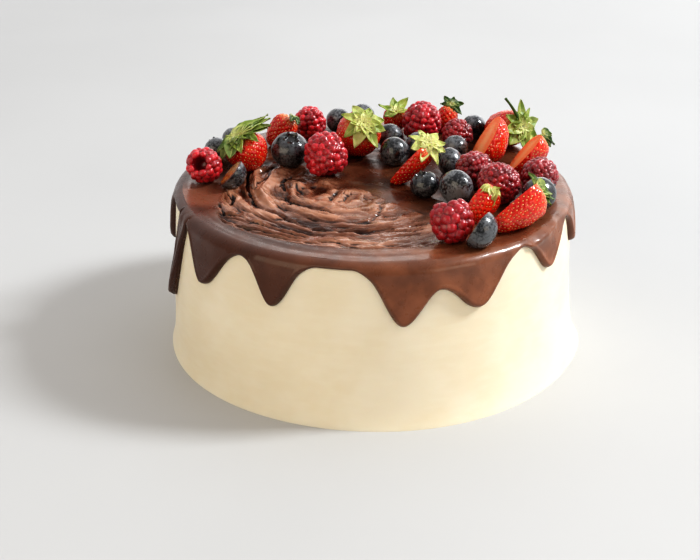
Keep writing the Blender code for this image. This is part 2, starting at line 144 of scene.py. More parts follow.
def hill(off, width):
    """1 on a line, falling softly to nothing on both sides of it."""
    return np.exp(-((off / width) ** 2))


def read_off(table, at):
    """The value at this place in a table of (place, value) pairs, on straight lines between them."""
    places, values = zip(*table)
    return np.interp(at, places, values)


def bearing_of(x, y):
    return np.degrees(np.arctan2(x, -y))


def at_bearing(bearing, radius, height):
    angle = np.radians(bearing)
    return np.stack([radius * np.sin(angle), -radius * np.cos(angle), height], axis=1)


def turn_between(a, b):
    return (b - a + 180.0) % 360.0 - 180.0


def side_radius(bearing, height):
    """The frosted side: a slight taper and lean, hand-smoothed waves, and a foot that spreads."""
    angle = np.radians(bearing)
    waves = sum(size * np.sin(count * angle + start) for count, size, start in SIDE_WAVES)
    spill = SPILL_REACH * hill(turn_between(SPILL_BEARING, bearing), SPILL_SPREAD)
    foot = (FOOT_FLARE + spill) * np.exp(-height / FOOT_HEIGHT)
    lean = SIDE_LEAN * np.sin(angle) * np.minimum(height / LEANS_BELOW, 1.0)
    return SIDE_RADIUS_AT_BASE - SIDE_TAPER * height + waves - lean + foot


def new_material(name, values):
    """A material whose Principled BSDF has these socket values, with its node tree and shader."""
    material = bpy.data.materials.new(name)
    material.use_nodes = True
    shader = material.node_tree.nodes["Principled BSDF"]
    for socket, value in values.items():
        shader.inputs[socket].default_value = (*value, 1.0) if socket.endswith("Color") else value
    return material, material.node_tree, shader


def feed(tree, socket, value):
    if isinstance(value, bpy.types.NodeSocket):
        tree.links.new(value, socket)
    elif socket.type == "RGBA" and len(value) == 3:
        socket.default_value = (*value, 1.0)
    else:
        socket.default_value = value


def put(tree, kind, settings=(), **inputs):
    """Adds a node and feeds its sockets, each by its name or, for i0, i1 and so on, by its number."""
    node = tree.nodes.new(kind)
    for key, value in dict(settings).items():
        setattr(node, key, value)
    for key, value in inputs.items():
        by_number = key[0] == "i" and key[1:].isdigit()
        feed(tree, node.inputs[int(key[1:]) if by_number else key.replace("_", " ")], value)
    return node


def maths(tree, operation, a, b=0.0):
    return put(tree, "ShaderNodeMath", {"operation": operation}, i0=a, i1=b).outputs[0]


def scaled(tree, value, by):
    return maths(tree, "MULTIPLY", value, by)


def span(tree, value, low, high, to_low=0.0, to_high=1.0):
    """Takes the value's range from low to high, softly, to another range."""
    ranges = {"Value": value, "From_Min": low, "From_Max": high, "To_Min": to_low, "To_Max": to_high}
    return put(tree, "ShaderNodeMapRange", {"interpolation_type": "SMOOTHSTEP"}, **ranges).outputs[0]


def mix(tree, factor, a, b):
    return put(tree, "ShaderNodeMix", {"data_type": "RGBA"}, i0=factor, i6=a, i7=b).outputs[2]


def object_place(tree):
    return put(tree, "ShaderNodeTexCoord").outputs["Object"]


def marked(tree, name):
    return put(tree, "ShaderNodeAttribute", {"attribute_name": name}).outputs["Fac"]


def speckle(tree, size, detail=3.0, stretch=None):
    """Noise between 0 and 1 whose lumps are as many millimetres across as the size says."""
    place = object_place(tree)
    if stretch:
        place = put(tree, "ShaderNodeMapping", i0=place, Scale=stretch).outputs[0]
    noise_node = put(tree, "ShaderNodeTexNoise", Vector=place, Scale=1.0 / (size * MM), Detail=detail)
    return noise_node.outputs["Fac"]


def coloured(tree, shader, tone, roughness=None):
    """Feeds the shader's colour and, where it varies, its roughness."""
    tree.links.new(tone, shader.inputs["Base Color"])
    if roughness:
        tree.links.new(roughness, shader.inputs["Roughness"])


def bumped(tree, shader, height, depth, strength=1.0):
    """Feeds the shader's normal with a relief that is this many millimetres deep."""
    bump = put(tree, "ShaderNodeBump", Height=height, Distance=depth * MM, Strength=strength)
    tree.links.new(bump.outputs[0], shader.inputs["Normal"])


def handling_marks():
    """A group shared by the soft finishes: broad cloudy tone and fine grain, as hands and tools leave."""
    group = bpy.data.node_groups.new("handling marks", "ShaderNodeTree")
    for name, low in (("Broad Size", 14.0), ("Fine Size", 1.2)):
        group.interface.new_socket(name, in_out="INPUT", socket_type="NodeSocketFloat").default_value = low
    for name in ("Cloud", "Grain"):
        group.interface.new_socket(name, in_out="OUTPUT", socket_type="NodeSocketFloat")
    given = group.nodes.new("NodeGroupInput")
    result = group.nodes.new("NodeGroupOutput")
    place = object_place(group)
    for index, name in enumerate(("Cloud", "Grain")):
        scale = maths(group, "DIVIDE", 1.0 / MM, given.outputs[index])
        texture = put(group, "ShaderNodeTexNoise", Vector=place, Scale=scale, Detail=3.0)
        group.links.new(texture.outputs["Fac"], result.inputs[name])
    return group


HANDLING = handling_marks()


def handled(tree, broad, fine):
    """The cloud and the grain of the shared group, at these sizes in millimetres."""
    node = put(tree, "ShaderNodeGroup", {"node_tree": HANDLING}, Broad_Size=broad, Fine_Size=fine)
    return node.outputs["Cloud"], node.outputs["Grain"]


def finish(piece, material, node, angle=180):
    """Smooths the piece, gives it its finish, and lets it stand for its CAD node."""
    pick(piece)
    if angle < 180:
        bpy.ops.object.shade_smooth_by_angle(angle=math.radians(angle))
    else:
        bpy.ops.object.shade_smooth()
    if material:
        piece.data.materials.clear()
        piece.data.materials.append(material)
    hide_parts(node)
    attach(piece, "root")


def frosting_finish():
    material, tree, shader = new_material("cream frosting", {
        "Roughness": 0.5, "Subsurface Weight": 0.2, "Subsurface Radius": (1.0, 0.75, 0.5),
        "Subsurface Scale": 0.004, "Specular IOR Level": 0.35,
    })
    cloud, grain = handled(tree, 30.0, 0.9)
    wiped = speckle(tree, 12.0, stretch=(1.0, 1.0, 3.5))
    tone = mix(tree, span(tree, cloud, 0.35, 0.65), (0.825, 0.738, 0.565), (0.86, 0.785, 0.63))
    tone = mix(tree, span(tree, wiped, 0.4, 0.7, 0.0, 0.2), tone, (0.895, 0.835, 0.69))
    coloured(tree, shader, tone, span(tree, cloud, 0.3, 0.7, 0.42, 0.56))
    bumped(tree, shader, maths(tree, "ADD", scaled(tree, grain, 0.3), wiped), 0.10, 0.5)
    return material


frosting = add(
    "cream_frosting", bpy.ops.mesh.primitive_circle_add, vertices=COAT_COLUMNS,
    radius=SIDE_RADIUS_AT_BASE * MM, fill_type="NGON",
)
edit(frosting)
heights = [0.0, *COAT_FOOT_HEIGHTS]
while heights[-1] + COAT_ROW < COAT_WALL_TOP:
    heights.append(heights[-1] + COAT_ROW)
heights.append(COAT_WALL_TOP)
for low, high in zip(heights, heights[1:]):
    pull_up(high - low)
height, inset = COAT_WALL_TOP, 0.0
for high, further in COAT_EDGE:
    pull_up(high - height)
    share = (SIDE_RADIUS_AT_BASE - further) / (SIDE_RADIUS_AT_BASE - inset)
    bpy.ops.transform.resize(value=(share, share, 1.0), center_override=(0, 0, high * MM))
    height, inset = high, further
done_editing()
face_outwards(frosting)

points = points_of(frosting)
bearing = bearing_of(points[:, 0], points[:, 1])
inset = SIDE_RADIUS_AT_BASE - np.hypot(points[:, 0], points[:, 1])
unrolled = np.stack([bearing * MM_PER_DEGREE, points[:, 2] * BAND_FLATNESS, 0 * bearing], axis=1)
bands = BAND_DEPTH * unevenness(unrolled, BAND_LENGTH, 1) * smooth_step((180.0 - abs(bearing)) / SEAM_FADE)
waves = WAVE_DEPTH * unevenness(points, WAVE_SIZE, 2)
coat = side_radius(bearing, points[:, 2]) - inset - COAT_INSET
coat += np.minimum(bands + waves, COAT_INSET * 0.9) * smooth_step(points[:, 2] / CALM_FOOT)
move_points(frosting, at_bearing(bearing, coat, points[:, 2]))
finish(frosting, frosting_finish(), "frosted_cake", angle=50)

# ---------------------------------------------------------------------------------------------------------
# Ganache. Dark chocolate and cream, poured warm over the chilled cake. A spatula swirled the middle as it
# set, and pushed it over the rim, where it ran down in tongues that set thick and round at their tips.

TOP_HEIGHT = 79.8
GAP = 0.35
RIM_HEIGHT = 78.4
BAND_LEVEL = 80.45
BERRY_LEVEL = 80.25
FLOOR_LEVEL = 79.85
SHOULDER = 5.0
LIP_THICKNESS = 1.2
CURTAIN_REACH = 1.2

# The drips: (bearing, depth) of each tip, and how many degrees it spreads to the left and to the right
DRIPS = (
    (-93.0, 29.0, 7.5, 9.0),
    (-54.1, 25.1, 12.5, 19.4),
    (-28.3, 23.0, 11.7, 12.8),
    (7.0, 27.7, 13.6, 15.5),
    (28.1, 23.2, 20.0, 16.9),
    (56.1, 18.0, 13.5, 14.5),
    (78.3, 19.0, 9.0, 8.5),
    (93.0, 22.0, 8.5, 10.0),
    (110.0, 31.0, 11.0, 15.0),
    (133.0, 19.0, 14.0, 11.0),
    (154.0, 25.0, 11.0, 16.0),
    (178.0, 15.0, 10.0, 12.0),
    (201.0, 34.0, 15.0, 12.0),
    (223.0, 21.0, 11.0, 13.0),
    (243.0, 24.0, 12.0, 11.0),
)
FLARE_SHARE = 0.6
TONGUE_WIDTH = 0.65
DRIP_BULGE = 2.3
FULL_BULGE_DEPTH = 45.0
THICKEST_AT = 0.8
ROLL_FROM = 8.0
EDGE_ROLL = 0.55
EDGE_ROLL_AT = 1.7
EDGE_ROLL_WIDTH = 0.75

# A lumpy fold where it piled up on its way over the rim: (bearing, depth) along it, and its height and width
RIM_FOLD = ((46.0, 2.6), (53.0, 1.0), (58.0, -0.3), (63.0, -1.6))
RIM_FOLD_HEIGHT = 0.9
RIM_FOLD_WIDTH = 1.3

# The one long drip runs aslant: (bearing, depth, half of its width in degrees), then where its middle is at
# each depth, and how its width changes
LONG_DRIP = (-67.8, 48.0, 3.7)
LONG_DRIP_SHAPE = 2.6
LONG_DRIP_DEPTHS = (0.0, 4.0, 10.4, 17.0, 25.0, 34.0, 42.0, 48.0)
LONG_DRIP_MIDDLES = (-67.8, -67.8, -69.0, -70.3, -72.0, -74.4, -77.0, -78.8)
LONG_DRIP_WIDTHS = (1.0, 0.95, 0.8, 0.72, 0.72, 0.8, 1.05, 1.2)
LONG_DRIP_FADE = 1.4

# The mesh of the top: rings, closest where the spatula worked and round the middle that it worked round,
# and columns, closest at the front. Each ring lies at a share of the way from there to the rim.
COLUMNS = 480
TOP_RINGS = 150
CLOSE_BEARING = -10.0
CLOSE_SHARE = 0.4
RING_NUMBERS = (0, 22, 130, TOP_RINGS)
RING_SHARES = (0.006, 0.31, 0.91, 1.0)
WORKED_ROUND = -11.6
SMEARED_AT = 60.0
CRACK_SHARE = 0.10
HANGING_ROWS = 26
BACK_ROWS = 3

# How far from the edge of a drip each row of its mesh lies
EDGE_STEPS = (0, 0.05, 0.16, 0.34, 0.6, 0.95, 1.4, 2.0, 2.8, 3.8, 5.0, 6.5, 8.2, 10, 12, 14.2, 16.6, 19.2,
              22, 25, 28.5, 32.5, 37, 42, 48, 55, 70)

# The open middle that the spatula worked: its left end, its right end by radius, its outside by bearing, and
# over how many degrees it fades. The floor below the raised band ends by bearing too.
WORKED_FROM = -138.0
WORKED_UP_TO = ((14, 112), (28, 50), (37, 44), (60, 54))
WORKED_OUT_TO = ((-90, 58), (-68, 69), (-59, 73), (-50, 77.5), (-21, 77), (-2, 79), (11, 79), (18, 82.5),
                 (24, 84), (60, 82))
WORKED_FADE = 16.0
FLOOR_FROM = -125.0
FLOOR_UP_TO = 70.0
FLOOR_FADE = 25.0
FLOOR_OUT_TO = ((-87, 92), (-73, 88), (-62, 86), (-24, 84), (-8, 82), (7, 82), (21, 80), (60, 82))
BERRY_REACH = 86.0
BAND_START = 94.0
CALMER_ON_THE_RIGHT = ((-20, 1.0), (30, 0.62))

# By bearing: from what share of the way to the rim the drips' painted shading sets in (painted shade at the
# left, painted light towards the window), and how far the rim shines. The worked middle shines on the
# window's side alone, and a painted patch of light lies at (x, y, radius).
RUNS_FROM = ((-20, 0.86), (5, 0.62), (50, 0.62), (70, 0.86))
RIM_GLOSS = ((-60, 0.45), (10, 0.6), (35, 1.0), (55, 0.9), (80, 0.4))
SHEEN_UP_TO = 55.0
PAINTED_LIGHT_PATCH = (-82.0, -12.0, 22.0)

# Cracks where one smear ends on the next: (bearing, radius) along each, its depth, its width, and the lip
# inside it
FURROWS = (
    (((-122, 54.5), (-110, 53.5), (-98, 50.8), (-90, 49.9), (-79, 49.4), (-68, 50.4), (-58, 52.2),
      (-54, 51.6), (-44, 50.8), (-36, 51.5), (-30, 53.6), (-25, 56.0), (-20, 56.2), (-14, 56.8), (-4, 58.5),
      (10, 57), (24, 57), (42, 60)), 1.7, 0.7, 0.5),
    (((-103, 34), (-90, 32.5), (-77, 31.8), (-62, 34.5), (-55, 35.5), (-45, 34.6), (-35, 34.4),
      (-24, 34.9), (-12, 38)), 1.2, 0.9, 0.7),
    (((-78, 58.5), (-70, 58.5), (-65, 62), (-61, 66)), 1.8, 0.8, 0.4),
    (((-72, 66), (-58, 69), (-52, 65.2), (-44, 65.8), (-36, 64.7), (-29, 65.7), (-23, 66.4), (-10, 68)),
     1.4, 0.5, 0.5),
    (((-60, 76), (-51, 75.6), (-44, 72.8), (-38, 70.1), (-31, 69.9), (-25, 70.8), (-19, 70.5),
      (-11, 71.6), (2, 72)), 1.5, 0.5, 0.5),
    (((-62, 72.5), (-56, 71.2), (-53, 69.2), (-46, 67.2), (-38, 65.6)), 0.9, 0.42, 0.5),
    (((-52, 79), (-45, 77.6), (-37, 75), (-28, 72.8), (-20, 72)), 1.0, 0.45, 0.4),
    (((-42, 75), (-38, 74.1), (-30, 72.9), (-22, 73.1), (-14, 73.6), (-8, 75)), 0.9, 0.45, 0.5),
    (((-66, 61), (-50, 59), (-36, 58.5), (-28, 61), (-14, 63), (2, 62), (15, 60), (36, 66)), 0.9, 0.42, 0.6),
    (((-12, 65), (-1, 61.2), (15, 59.9), (34, 65.7), (46, 68)), 0.8, 0.40, 0.6),
    (((-6, 57), (3, 55.4), (21, 54.1), (39, 59.2), (50, 61)), 0.9, 0.38, 0.6),
    (((-14, 68), (-6, 69.5), (-2, 73.9), (4, 78.3), (11, 78.3), (18, 82), (26, 84.5)), 1.0, 0.5, 0.5),
    (((-8, 66), (6, 66), (20, 67), (34, 70)), 0.6, 0.40, 0.6),
    (((-60, 44), (-46, 43), (-34, 44), (-20, 46), (-6, 49), (8, 50)), 0.8, 0.5, 0.7),
    (((-48, 39.5), (-36, 39), (-24, 40.5), (-10, 43)), 0.7, 0.45, 0.7),
    (((-20, 28), (-4, 31), (10, 34), (22, 36)), 0.6, 0.5, 0.7),
    (((-95, 27), (-80, 25.5), (-66, 28), (-52, 29)), 0.9, 0.6, 0.6),
)
# Thick folds of ganache: (bearing, radius) along each, its height, and its width towards the middle
FOLDS = (
    (((-122, 51.5), (-110, 50.5), (-98, 47.6), (-90, 46.8), (-79, 46.4), (-68, 47.2), (-54, 48.5)), 2.3, 2.3),
    (((-112, 55), (-98, 54.5), (-80, 53.5), (-66, 54), (-52, 55)), -1.3, 2.4),
    (((-112, 41), (-100, 40), (-90, 41), (-82, 42.6), (-70, 45.8), (-60, 46.6), (-48, 48.5)), 1.7, 2.0),
    (((-60, 39), (-40, 41), (-20, 43), (0, 45)), 1.0, 2.6),
    (((-105, 29), (-85, 27.5), (-66, 31), (-50, 31.5), (-34, 31)), 1.4, 2.6),
    (((-52, 55), (-36, 56), (-15, 60), (8, 62)), 0.9, 2.0),
)
# Streaks that cross the arcs, as (x, y) points from the middle that was worked round, with depth and width
STREAKS = (
    (((15, -29), (12.5, -38), (9.6, -45)), 0.7, 1.0),
    (((-5, -3), (-6.0, -8), (-9.5, -20)), 0.75, 1.5),
    (((-23, -4), (-25, -13), (-23, -22)), 0.5, 1.4),
    (((6, 0), (4, -12), (-2, -23)), 0.45, 1.6),
    (((22, -10), (17, -22), (13, -30)), 0.45, 1.5),
)
FINE_FURROWS = 34
# Smears drawn out along the arcs: how many millimetres across and along, how deep, whether they crack, and
# the seed of each
SMEARS = ((9.5, 40.0, 1.35, False, 21), (6.4, 34.0, 1.0, True, 22), (3.4, 16.0, 0.42, True, 23),
          (2.6, 12.0, 0.18, False, 24))


def lobe(share):
    """Falls softly from 1 in the middle to 0 at the edge."""
    return 0.5 * (1 + np.cos(np.pi * np.minimum(share, 1.0)))


def drip_reach(bearing):
    """How far the ganache hangs below the rim: a short curtain, with each drip a flare and a tongue."""
    reach = np.full(len(bearing), CURTAIN_REACH)
    for tip, depth, left, right in DRIPS:
        turn = turn_between(tip, bearing)
        share = abs(turn) / np.where(turn > 0, right, left)
        flare, tongue = lobe(share), lobe(share / TONGUE_WIDTH)
        reach += (depth - CURTAIN_REACH) * (FLARE_SHARE * flare + (1 - FLARE_SHARE) * tongue)
    start, depth, half = LONG_DRIP
    share = np.minimum(abs(turn_between(start, bearing)) / half, 1.0)
    return reach + (depth - CURTAIN_REACH) * lobe(share**LONG_DRIP_SHAPE)


def run_aslant(bearing, depth):
    """Moves the columns of the long drip aside as they go down."""
    start, _, half = LONG_DRIP
    turn = turn_between(start, bearing)
    own = smooth_step((half + LONG_DRIP_FADE - abs(turn)) / LONG_DRIP_FADE)
    middle = np.interp(depth, LONG_DRIP_DEPTHS, LONG_DRIP_MIDDLES)
    width = np.interp(depth, LONG_DRIP_DEPTHS, LONG_DRIP_WIDTHS)
    return bearing + own * (middle + turn * width - start - turn)


def along_arc(bearing, radius, line, fade=7.0):
    """How far outside the line each point lies, and 1 along it, falling to 0 over the last few degrees."""
    within = np.minimum(bearing - line[0][0], line[-1][0] - bearing)
    return radius - read_off(line, bearing), smooth_step(within / fade)


def along_streak(x, y, line):
    """How far from a line of short stretches each point lies."""
    nearest = np.full(len(x), 1e9)
    for (ax, ay), (bx, by) in zip(line, line[1:]):
        on_x, on_y = bx - ax, by - ay
        along = np.clip(((x - ax) * on_x + (y - ay) * on_y) / (on_x**2 + on_y**2), 0, 1)
        nearest = np.minimum(nearest, np.hypot(x - ax - along * on_x, y - ay - along * on_y))
    return nearest


def smeared(out, round_it, across, along, seed):
    """Noise drawn out along the arcs, about -1 to 1: this many millimetres across and this many along."""
    arcs = np.radians(round_it) * SMEARED_AT / along
    return unevenness(np.stack([out / across, arcs, 0 * out], axis=1), 1.0, seed, 2)


def cut_into(off, depth, width, lip):
    """A furrow across its line: steep on the inside under a raised lip, and gently rising outside."""
    floor = np.where(off < 0, hill(off, 0.55 * width), hill(off, 1.5 * width))
    return depth * (lip * hill(off + 1.5 * width, 1.2 * width) - floor)


def worked_middle(bearing, radius):
    """1 in the open middle that the spatula worked, falling to 0 where the surface is smooth."""
    last = read_off(WORKED_UP_TO, radius) + 9 * np.sin(radius / 5.5) + 6 * np.sin(radius / 2.3)
    ends = smooth_step(np.minimum(turn_between(WORKED_FROM, bearing), last - bearing) / WORKED_FADE)
    outside = smooth_step((read_off(WORKED_OUT_TO, bearing) - radius) / 2.0)
    return ends * outside * smooth_step((radius - 3.0) / 8.0)


def top_level(x, y):
    """The height of the ganache's top: a raised smooth band, and the spatula's folds and cracks inside it. It
    also returns where the surface was worked, how deep in a crack and how high on a fold each point lies, and
    its place along and across the arcs."""
    radius, bearing = np.hypot(x, y), bearing_of(x, y)
    flat = np.stack([x, y, 0 * x], axis=1)
    out, round_it = np.hypot(x - WORKED_ROUND, y), bearing_of(x - WORKED_ROUND, y)
    worked = worked_middle(round_it, out)
    wobble = unevenness(flat, 9.0, 3, 4)
    drifted = out + 1.6 * unevenness(flat, 20.0, 4) + 0.5 * wobble
    relief, fine = 0.35 * wobble + 0.45 * unevenness(flat, 6.0, 9, 2), 0 * x
    for across, along, depth, cracks, seed in SMEARS:
        smear = smeared(drifted, round_it, across, along, seed)
        relief += depth * smear * (0.6 if cracks else 1.0)
        if cracks:
            patches = smooth_step((unevenness(flat, 15.0, seed + 5) + 0.10) / 0.4)
            fine -= depth * patches * hill(smear, CRACK_SHARE)
    relief *= read_off(CALMER_ON_THE_RIGHT, round_it)
    shifted = out + 0.35 * wobble
    ragged = np.clip(0.9 + 1.2 * unevenness(flat, 7.0, 5, 3), 0.15, 1.7)
    for line, depth, width, lip in FURROWS:
        off, fade = along_arc(round_it, shifted, line)
        fine += fade * cut_into(off, depth * ragged, width, lip)
    for line, height, width in FOLDS:
        off, fade = along_arc(round_it, shifted, line)
        relief += height * fade * hill(off, np.where(off > 0, 0.45 * width, 1.3 * width))
    for line, depth, width in STREAKS:
        off = along_streak(x - WORKED_ROUND + 0.6 * wobble, y, line)
        fine -= depth * hill(off, width)
        relief += 0.6 * depth * hill(off - 2.2 * width, 1.4 * width)
    draw = random.Random(11)
    for _ in range(FINE_FURROWS):
        start, reach = draw.uniform(-100, 20), draw.uniform(10, 36)
        at, slope = draw.uniform(24, 78), draw.uniform(-3, 3)
        off, fade = along_arc(round_it, shifted, ((start, at), (start + reach, at + slope)), 8.0)
        fine += fade * cut_into(off, draw.uniform(0.2, 0.55) * ragged, draw.uniform(0.3, 0.45), 0.6)
    ends = np.minimum(turn_between(FLOOR_FROM, bearing), -turn_between(FLOOR_UP_TO, bearing))
    front = smooth_step(ends / FLOOR_FADE)
    inside = smooth_step((read_off(FLOOR_OUT_TO, bearing) - radius) / 5.0) * front
    level = np.interp(inside, (0, 1), (BAND_LEVEL, FLOOR_LEVEL))
    resting = smooth_step((BERRY_REACH - radius) / 6.0) * (1 - front)
    level += resting * (BERRY_LEVEL - BAND_LEVEL)
    rolling = 0.18 * unevenness(flat, 24.0, 7) * smooth_step((BAND_START - radius) / 4.0)
    brushed = 0.16 * smeared(radius, bearing, 5.0, 60.0, 31) * smooth_step((96.0 - radius) / 4.0)
    height = level + worked * (relief + fine) + rolling + brushed * (1 - worked)
    # The finish paints shade into the cracks, and paints shade in the hollows and light on the crests by the
    # height on the folds
    in_cracks, on_folds = np.clip(-fine, 0, 1.2) / 1.2, np.clip(0.5 + relief / 2.6, 0, 1)
    return height, worked, worked * in_cracks, on_folds, drifted, round_it


ganache = add("poured_ganache", bpy.ops.mesh.primitive_circle_add, vertices=COLUMNS, radius=1.0,
              fill_type="NOTHING")
edit(ganache)
for _ in range(TOP_RINGS + HANGING_ROWS + BACK_ROWS + 1):
    pull_up(-1 / MM)
bpy.ops.mesh.select_all(action="SELECT")
bpy.ops.mesh.fill_holes(sides=0)
done_editing()

column = points_of(ganache) * MM
ring = np.rint(-column[:, 2]).astype(int)
row = ring - TOP_RINGS
bearing = bearing_of(column[:, 0], column[:, 1])
bearing -= np.degrees(CLOSE_SHARE * np.sin(np.radians(bearing - CLOSE_BEARING)))

# The outline of the hanging edge, as a length along the rim and a length down from where the shoulder starts
SHOULDER_RUN = SHOULDER * math.pi / 2
UPRIGHT_FROM = RIM_HEIGHT - (BAND_LEVEL - SHOULDER)
edge_bearings = np.arange(-200.0, 200.0, 0.05)


def run_length(bearing):
    """The length of the surface from where the shoulder starts down to the hanging edge."""
    reach = drip_reach(bearing)
    drop = np.minimum(reach, UPRIGHT_FROM) + BAND_LEVEL - RIM_HEIGHT
    return SHOULDER * np.arccos(1.0 - drop / SHOULDER) + np.maximum(reach - UPRIGHT_FROM, 0.0)


def depth_at(run):
    """How far below the rim's height a point of the hanging surface lies, by its length down."""
    turned = np.minimum(run / SHOULDER, math.pi / 2)
    return np.maximum(run - SHOULDER_RUN, 0.0) + RIM_HEIGHT - BAND_LEVEL + SHOULDER * (1.0 - np.cos(turned))


mid_radius = float(np.mean(side_radius(edge_bearings, RIM_HEIGHT)))
edge_runs = run_length(edge_bearings)
edge_across = np.radians(run_aslant(edge_bearings, depth_at(edge_runs))) * mid_radius
outline = kdtree.KDTree(len(edge_bearings))
for index, (across, run) in enumerate(zip(edge_across, edge_runs)):
    outline.insert((across, run, 0.0), index)
outline.balance()

hanging = (row > 0) & (row <= HANGING_ROWS)
runs = run_length(bearing)
steepness = abs(np.gradient(edge_runs, np.radians(edge_bearings) * mid_radius))
around_it = [np.roll(steepness, step) for step in range(-9, 10, 3)]
widest = np.interp(bearing, edge_bearings, np.maximum.reduce(around_it))
from_edge = HANGING_ROWS - row
even = np.clip(from_edge / HANGING_ROWS, 0.0, 1.0)
stepped = np.interp(from_edge, range(len(EDGE_STEPS)), EDGE_STEPS) * np.sqrt(1 + widest**2) / runs
back_share = np.where(even >= 1.0, 1.0, np.minimum(stepped, even))
run = runs * (1.0 - back_share)
depth = depth_at(run)
slid = np.where(hanging, run_aslant(bearing, np.maximum(depth, 0.0)), bearing)
reach = drip_reach(bearing)
bulge = DRIP_BULGE * np.minimum(1.0, reach / FULL_BULGE_DEPTH)
fullness = np.sin(0.5 * math.pi * np.clip(depth / np.maximum(reach, 1.0) / THICKEST_AT, 0, 1)) ** 2
full = LIP_THICKNESS + GAP + COAT_INSET + bulge * fullness * (reach > 5.0)
distance = np.zeros(len(run))
for index in np.nonzero(hanging)[0]:
    distance[index] = outline.find((math.radians(slid[index]) * mid_radius, run[index], 0.0))[2]
distance[row == HANGING_ROWS] = 0.0
bead = 0.7 * full + 0.5
near = np.clip(distance / bead, 0.0, 1.0)
roll = EDGE_ROLL * hill(distance - EDGE_ROLL_AT, EDGE_ROLL_WIDTH) * smooth_step(depth / ROLL_FROM)
thickness = full * np.sqrt(1.0 - (1.0 - near) ** 2) + roll * near
arc = np.minimum(run / SHOULDER, math.pi / 2)
height = RIM_HEIGHT - depth
outer = side_radius(slid, height) - COAT_INSET + thickness - SHOULDER * (1 - np.sin(arc))
fold_line = [(math.radians(turn) * mid_radius, down) for turn, down in RIM_FOLD]
off_fold = along_streak(np.radians(slid) * mid_radius, depth, fold_line)
unrolled = np.stack([slid * MM_PER_DEGREE, height, 0 * slid], axis=1)
outer += RIM_FOLD_HEIGHT * (1.0 + 0.8 * unevenness(unrolled, 5.0, 14)) * hill(off_fold, RIM_FOLD_WIDTH) * near
placed = at_bearing(slid, outer + 0.42 * unevenness(unrolled, 20.0, 8) * near, height)

# The back of the hanging part lies on the frosting, and the cap's underside on top of it
end_depth = depth_at(runs)
back = row - HANGING_ROWS
up = np.clip(back / BACK_ROWS, 0.0, 1.0)
inner_top = FROSTING_TOP - 0.3
back_height = np.minimum(RIM_HEIGHT - end_depth, inner_top) * (1 - up) + inner_top * up
back_bearing = run_aslant(bearing, end_depth) * (1 - up) + bearing * up
back_radius = side_radius(back_bearing, back_height) - COAT_INSET - 0.25 - 0.5 * up
behind = at_bearing(back_bearing, back_radius, back_height)
under = at_bearing(bearing, side_radius(bearing, FROSTING_TOP) - 4.0, 0 * bearing + FROSTING_TOP + 0.3)

share = np.interp(ring, RING_NUMBERS, RING_SHARES)
rim_radius = side_radius(bearing, RIM_HEIGHT) + LIP_THICKNESS + GAP - SHOULDER
cap = at_bearing(bearing, share * rim_radius, 0 * bearing)
cap[:, 0] += WORKED_ROUND * (1.0 - smooth_step((share - 0.55) / 0.45))
level, worked, furrowed, raised, drifted, round_it = top_level(cap[:, 0], cap[:, 1])
near_rim = smooth_step((share - 0.93) / 0.07)
cap[:, 2] = level * (1 - near_rim) + BAND_LEVEL * near_rim

on_top = row <= 0
poured = np.where(on_top[:, None], cap, placed)
poured = np.where((back > 0)[:, None], behind, poured)
poured = np.where((back > BACK_ROWS)[:, None], under, poured)
move_points(ganache, poured)
down_the_side = np.where(hanging, smooth_step((depth - 2.0) / 9.0), 0.0)
runs_from = read_off(RUNS_FROM, bearing)
gloss = read_off(RIM_GLOSS, bearing)
near_window = smooth_step((SHEEN_UP_TO - round_it) / 30.0)
sheen = (1 - 0.9 * furrowed) * (0.2 + 0.8 * smooth_step((raised - 0.25) / 0.4)) * near_window * worked**2
on_shoulder = gloss * smooth_step((share - 0.92) / 0.05)
# Painted light: a round patch of the top at the left is made lighter where the window lights it
light_patch_x, light_patch_y, light_patch_radius = PAINTED_LIGHT_PATCH
from_light_patch = np.hypot(cap[:, 0] - light_patch_x, cap[:, 1] - light_patch_y)
mark(
    # furrow: painted shade in the cracks; raised: painted shade in the hollows and painted light on the
    # crests
    ganache, worked=worked * on_top, furrow=furrowed * on_top, raised=raised * on_top,
    # painted light on that patch of the top
    pooled=smooth_step((light_patch_radius - from_light_patch) / 10.0) * on_top,
    # edge: painted shade, a dark line along each drip's edge
    edge=np.where(hanging, 1.0 - near, 0.0),
    # hanging: the drips' painted shading, which also reaches onto the top near the rim at the front and right
    hanging=np.where(hanging, 0.8 + 0.2 * down_the_side, 0.8 * smooth_step((share - runs_from) / 0.14)),
    glossy=np.where(on_top, np.maximum(sheen, on_shoulder), gloss * (1.0 - 0.85 * down_the_side)),
    out=np.where(on_top, drifted, 0.0),
    round=np.where(on_top, np.radians(round_it) * SMEARED_AT, 0.0),
)
face_outwards(ganache)


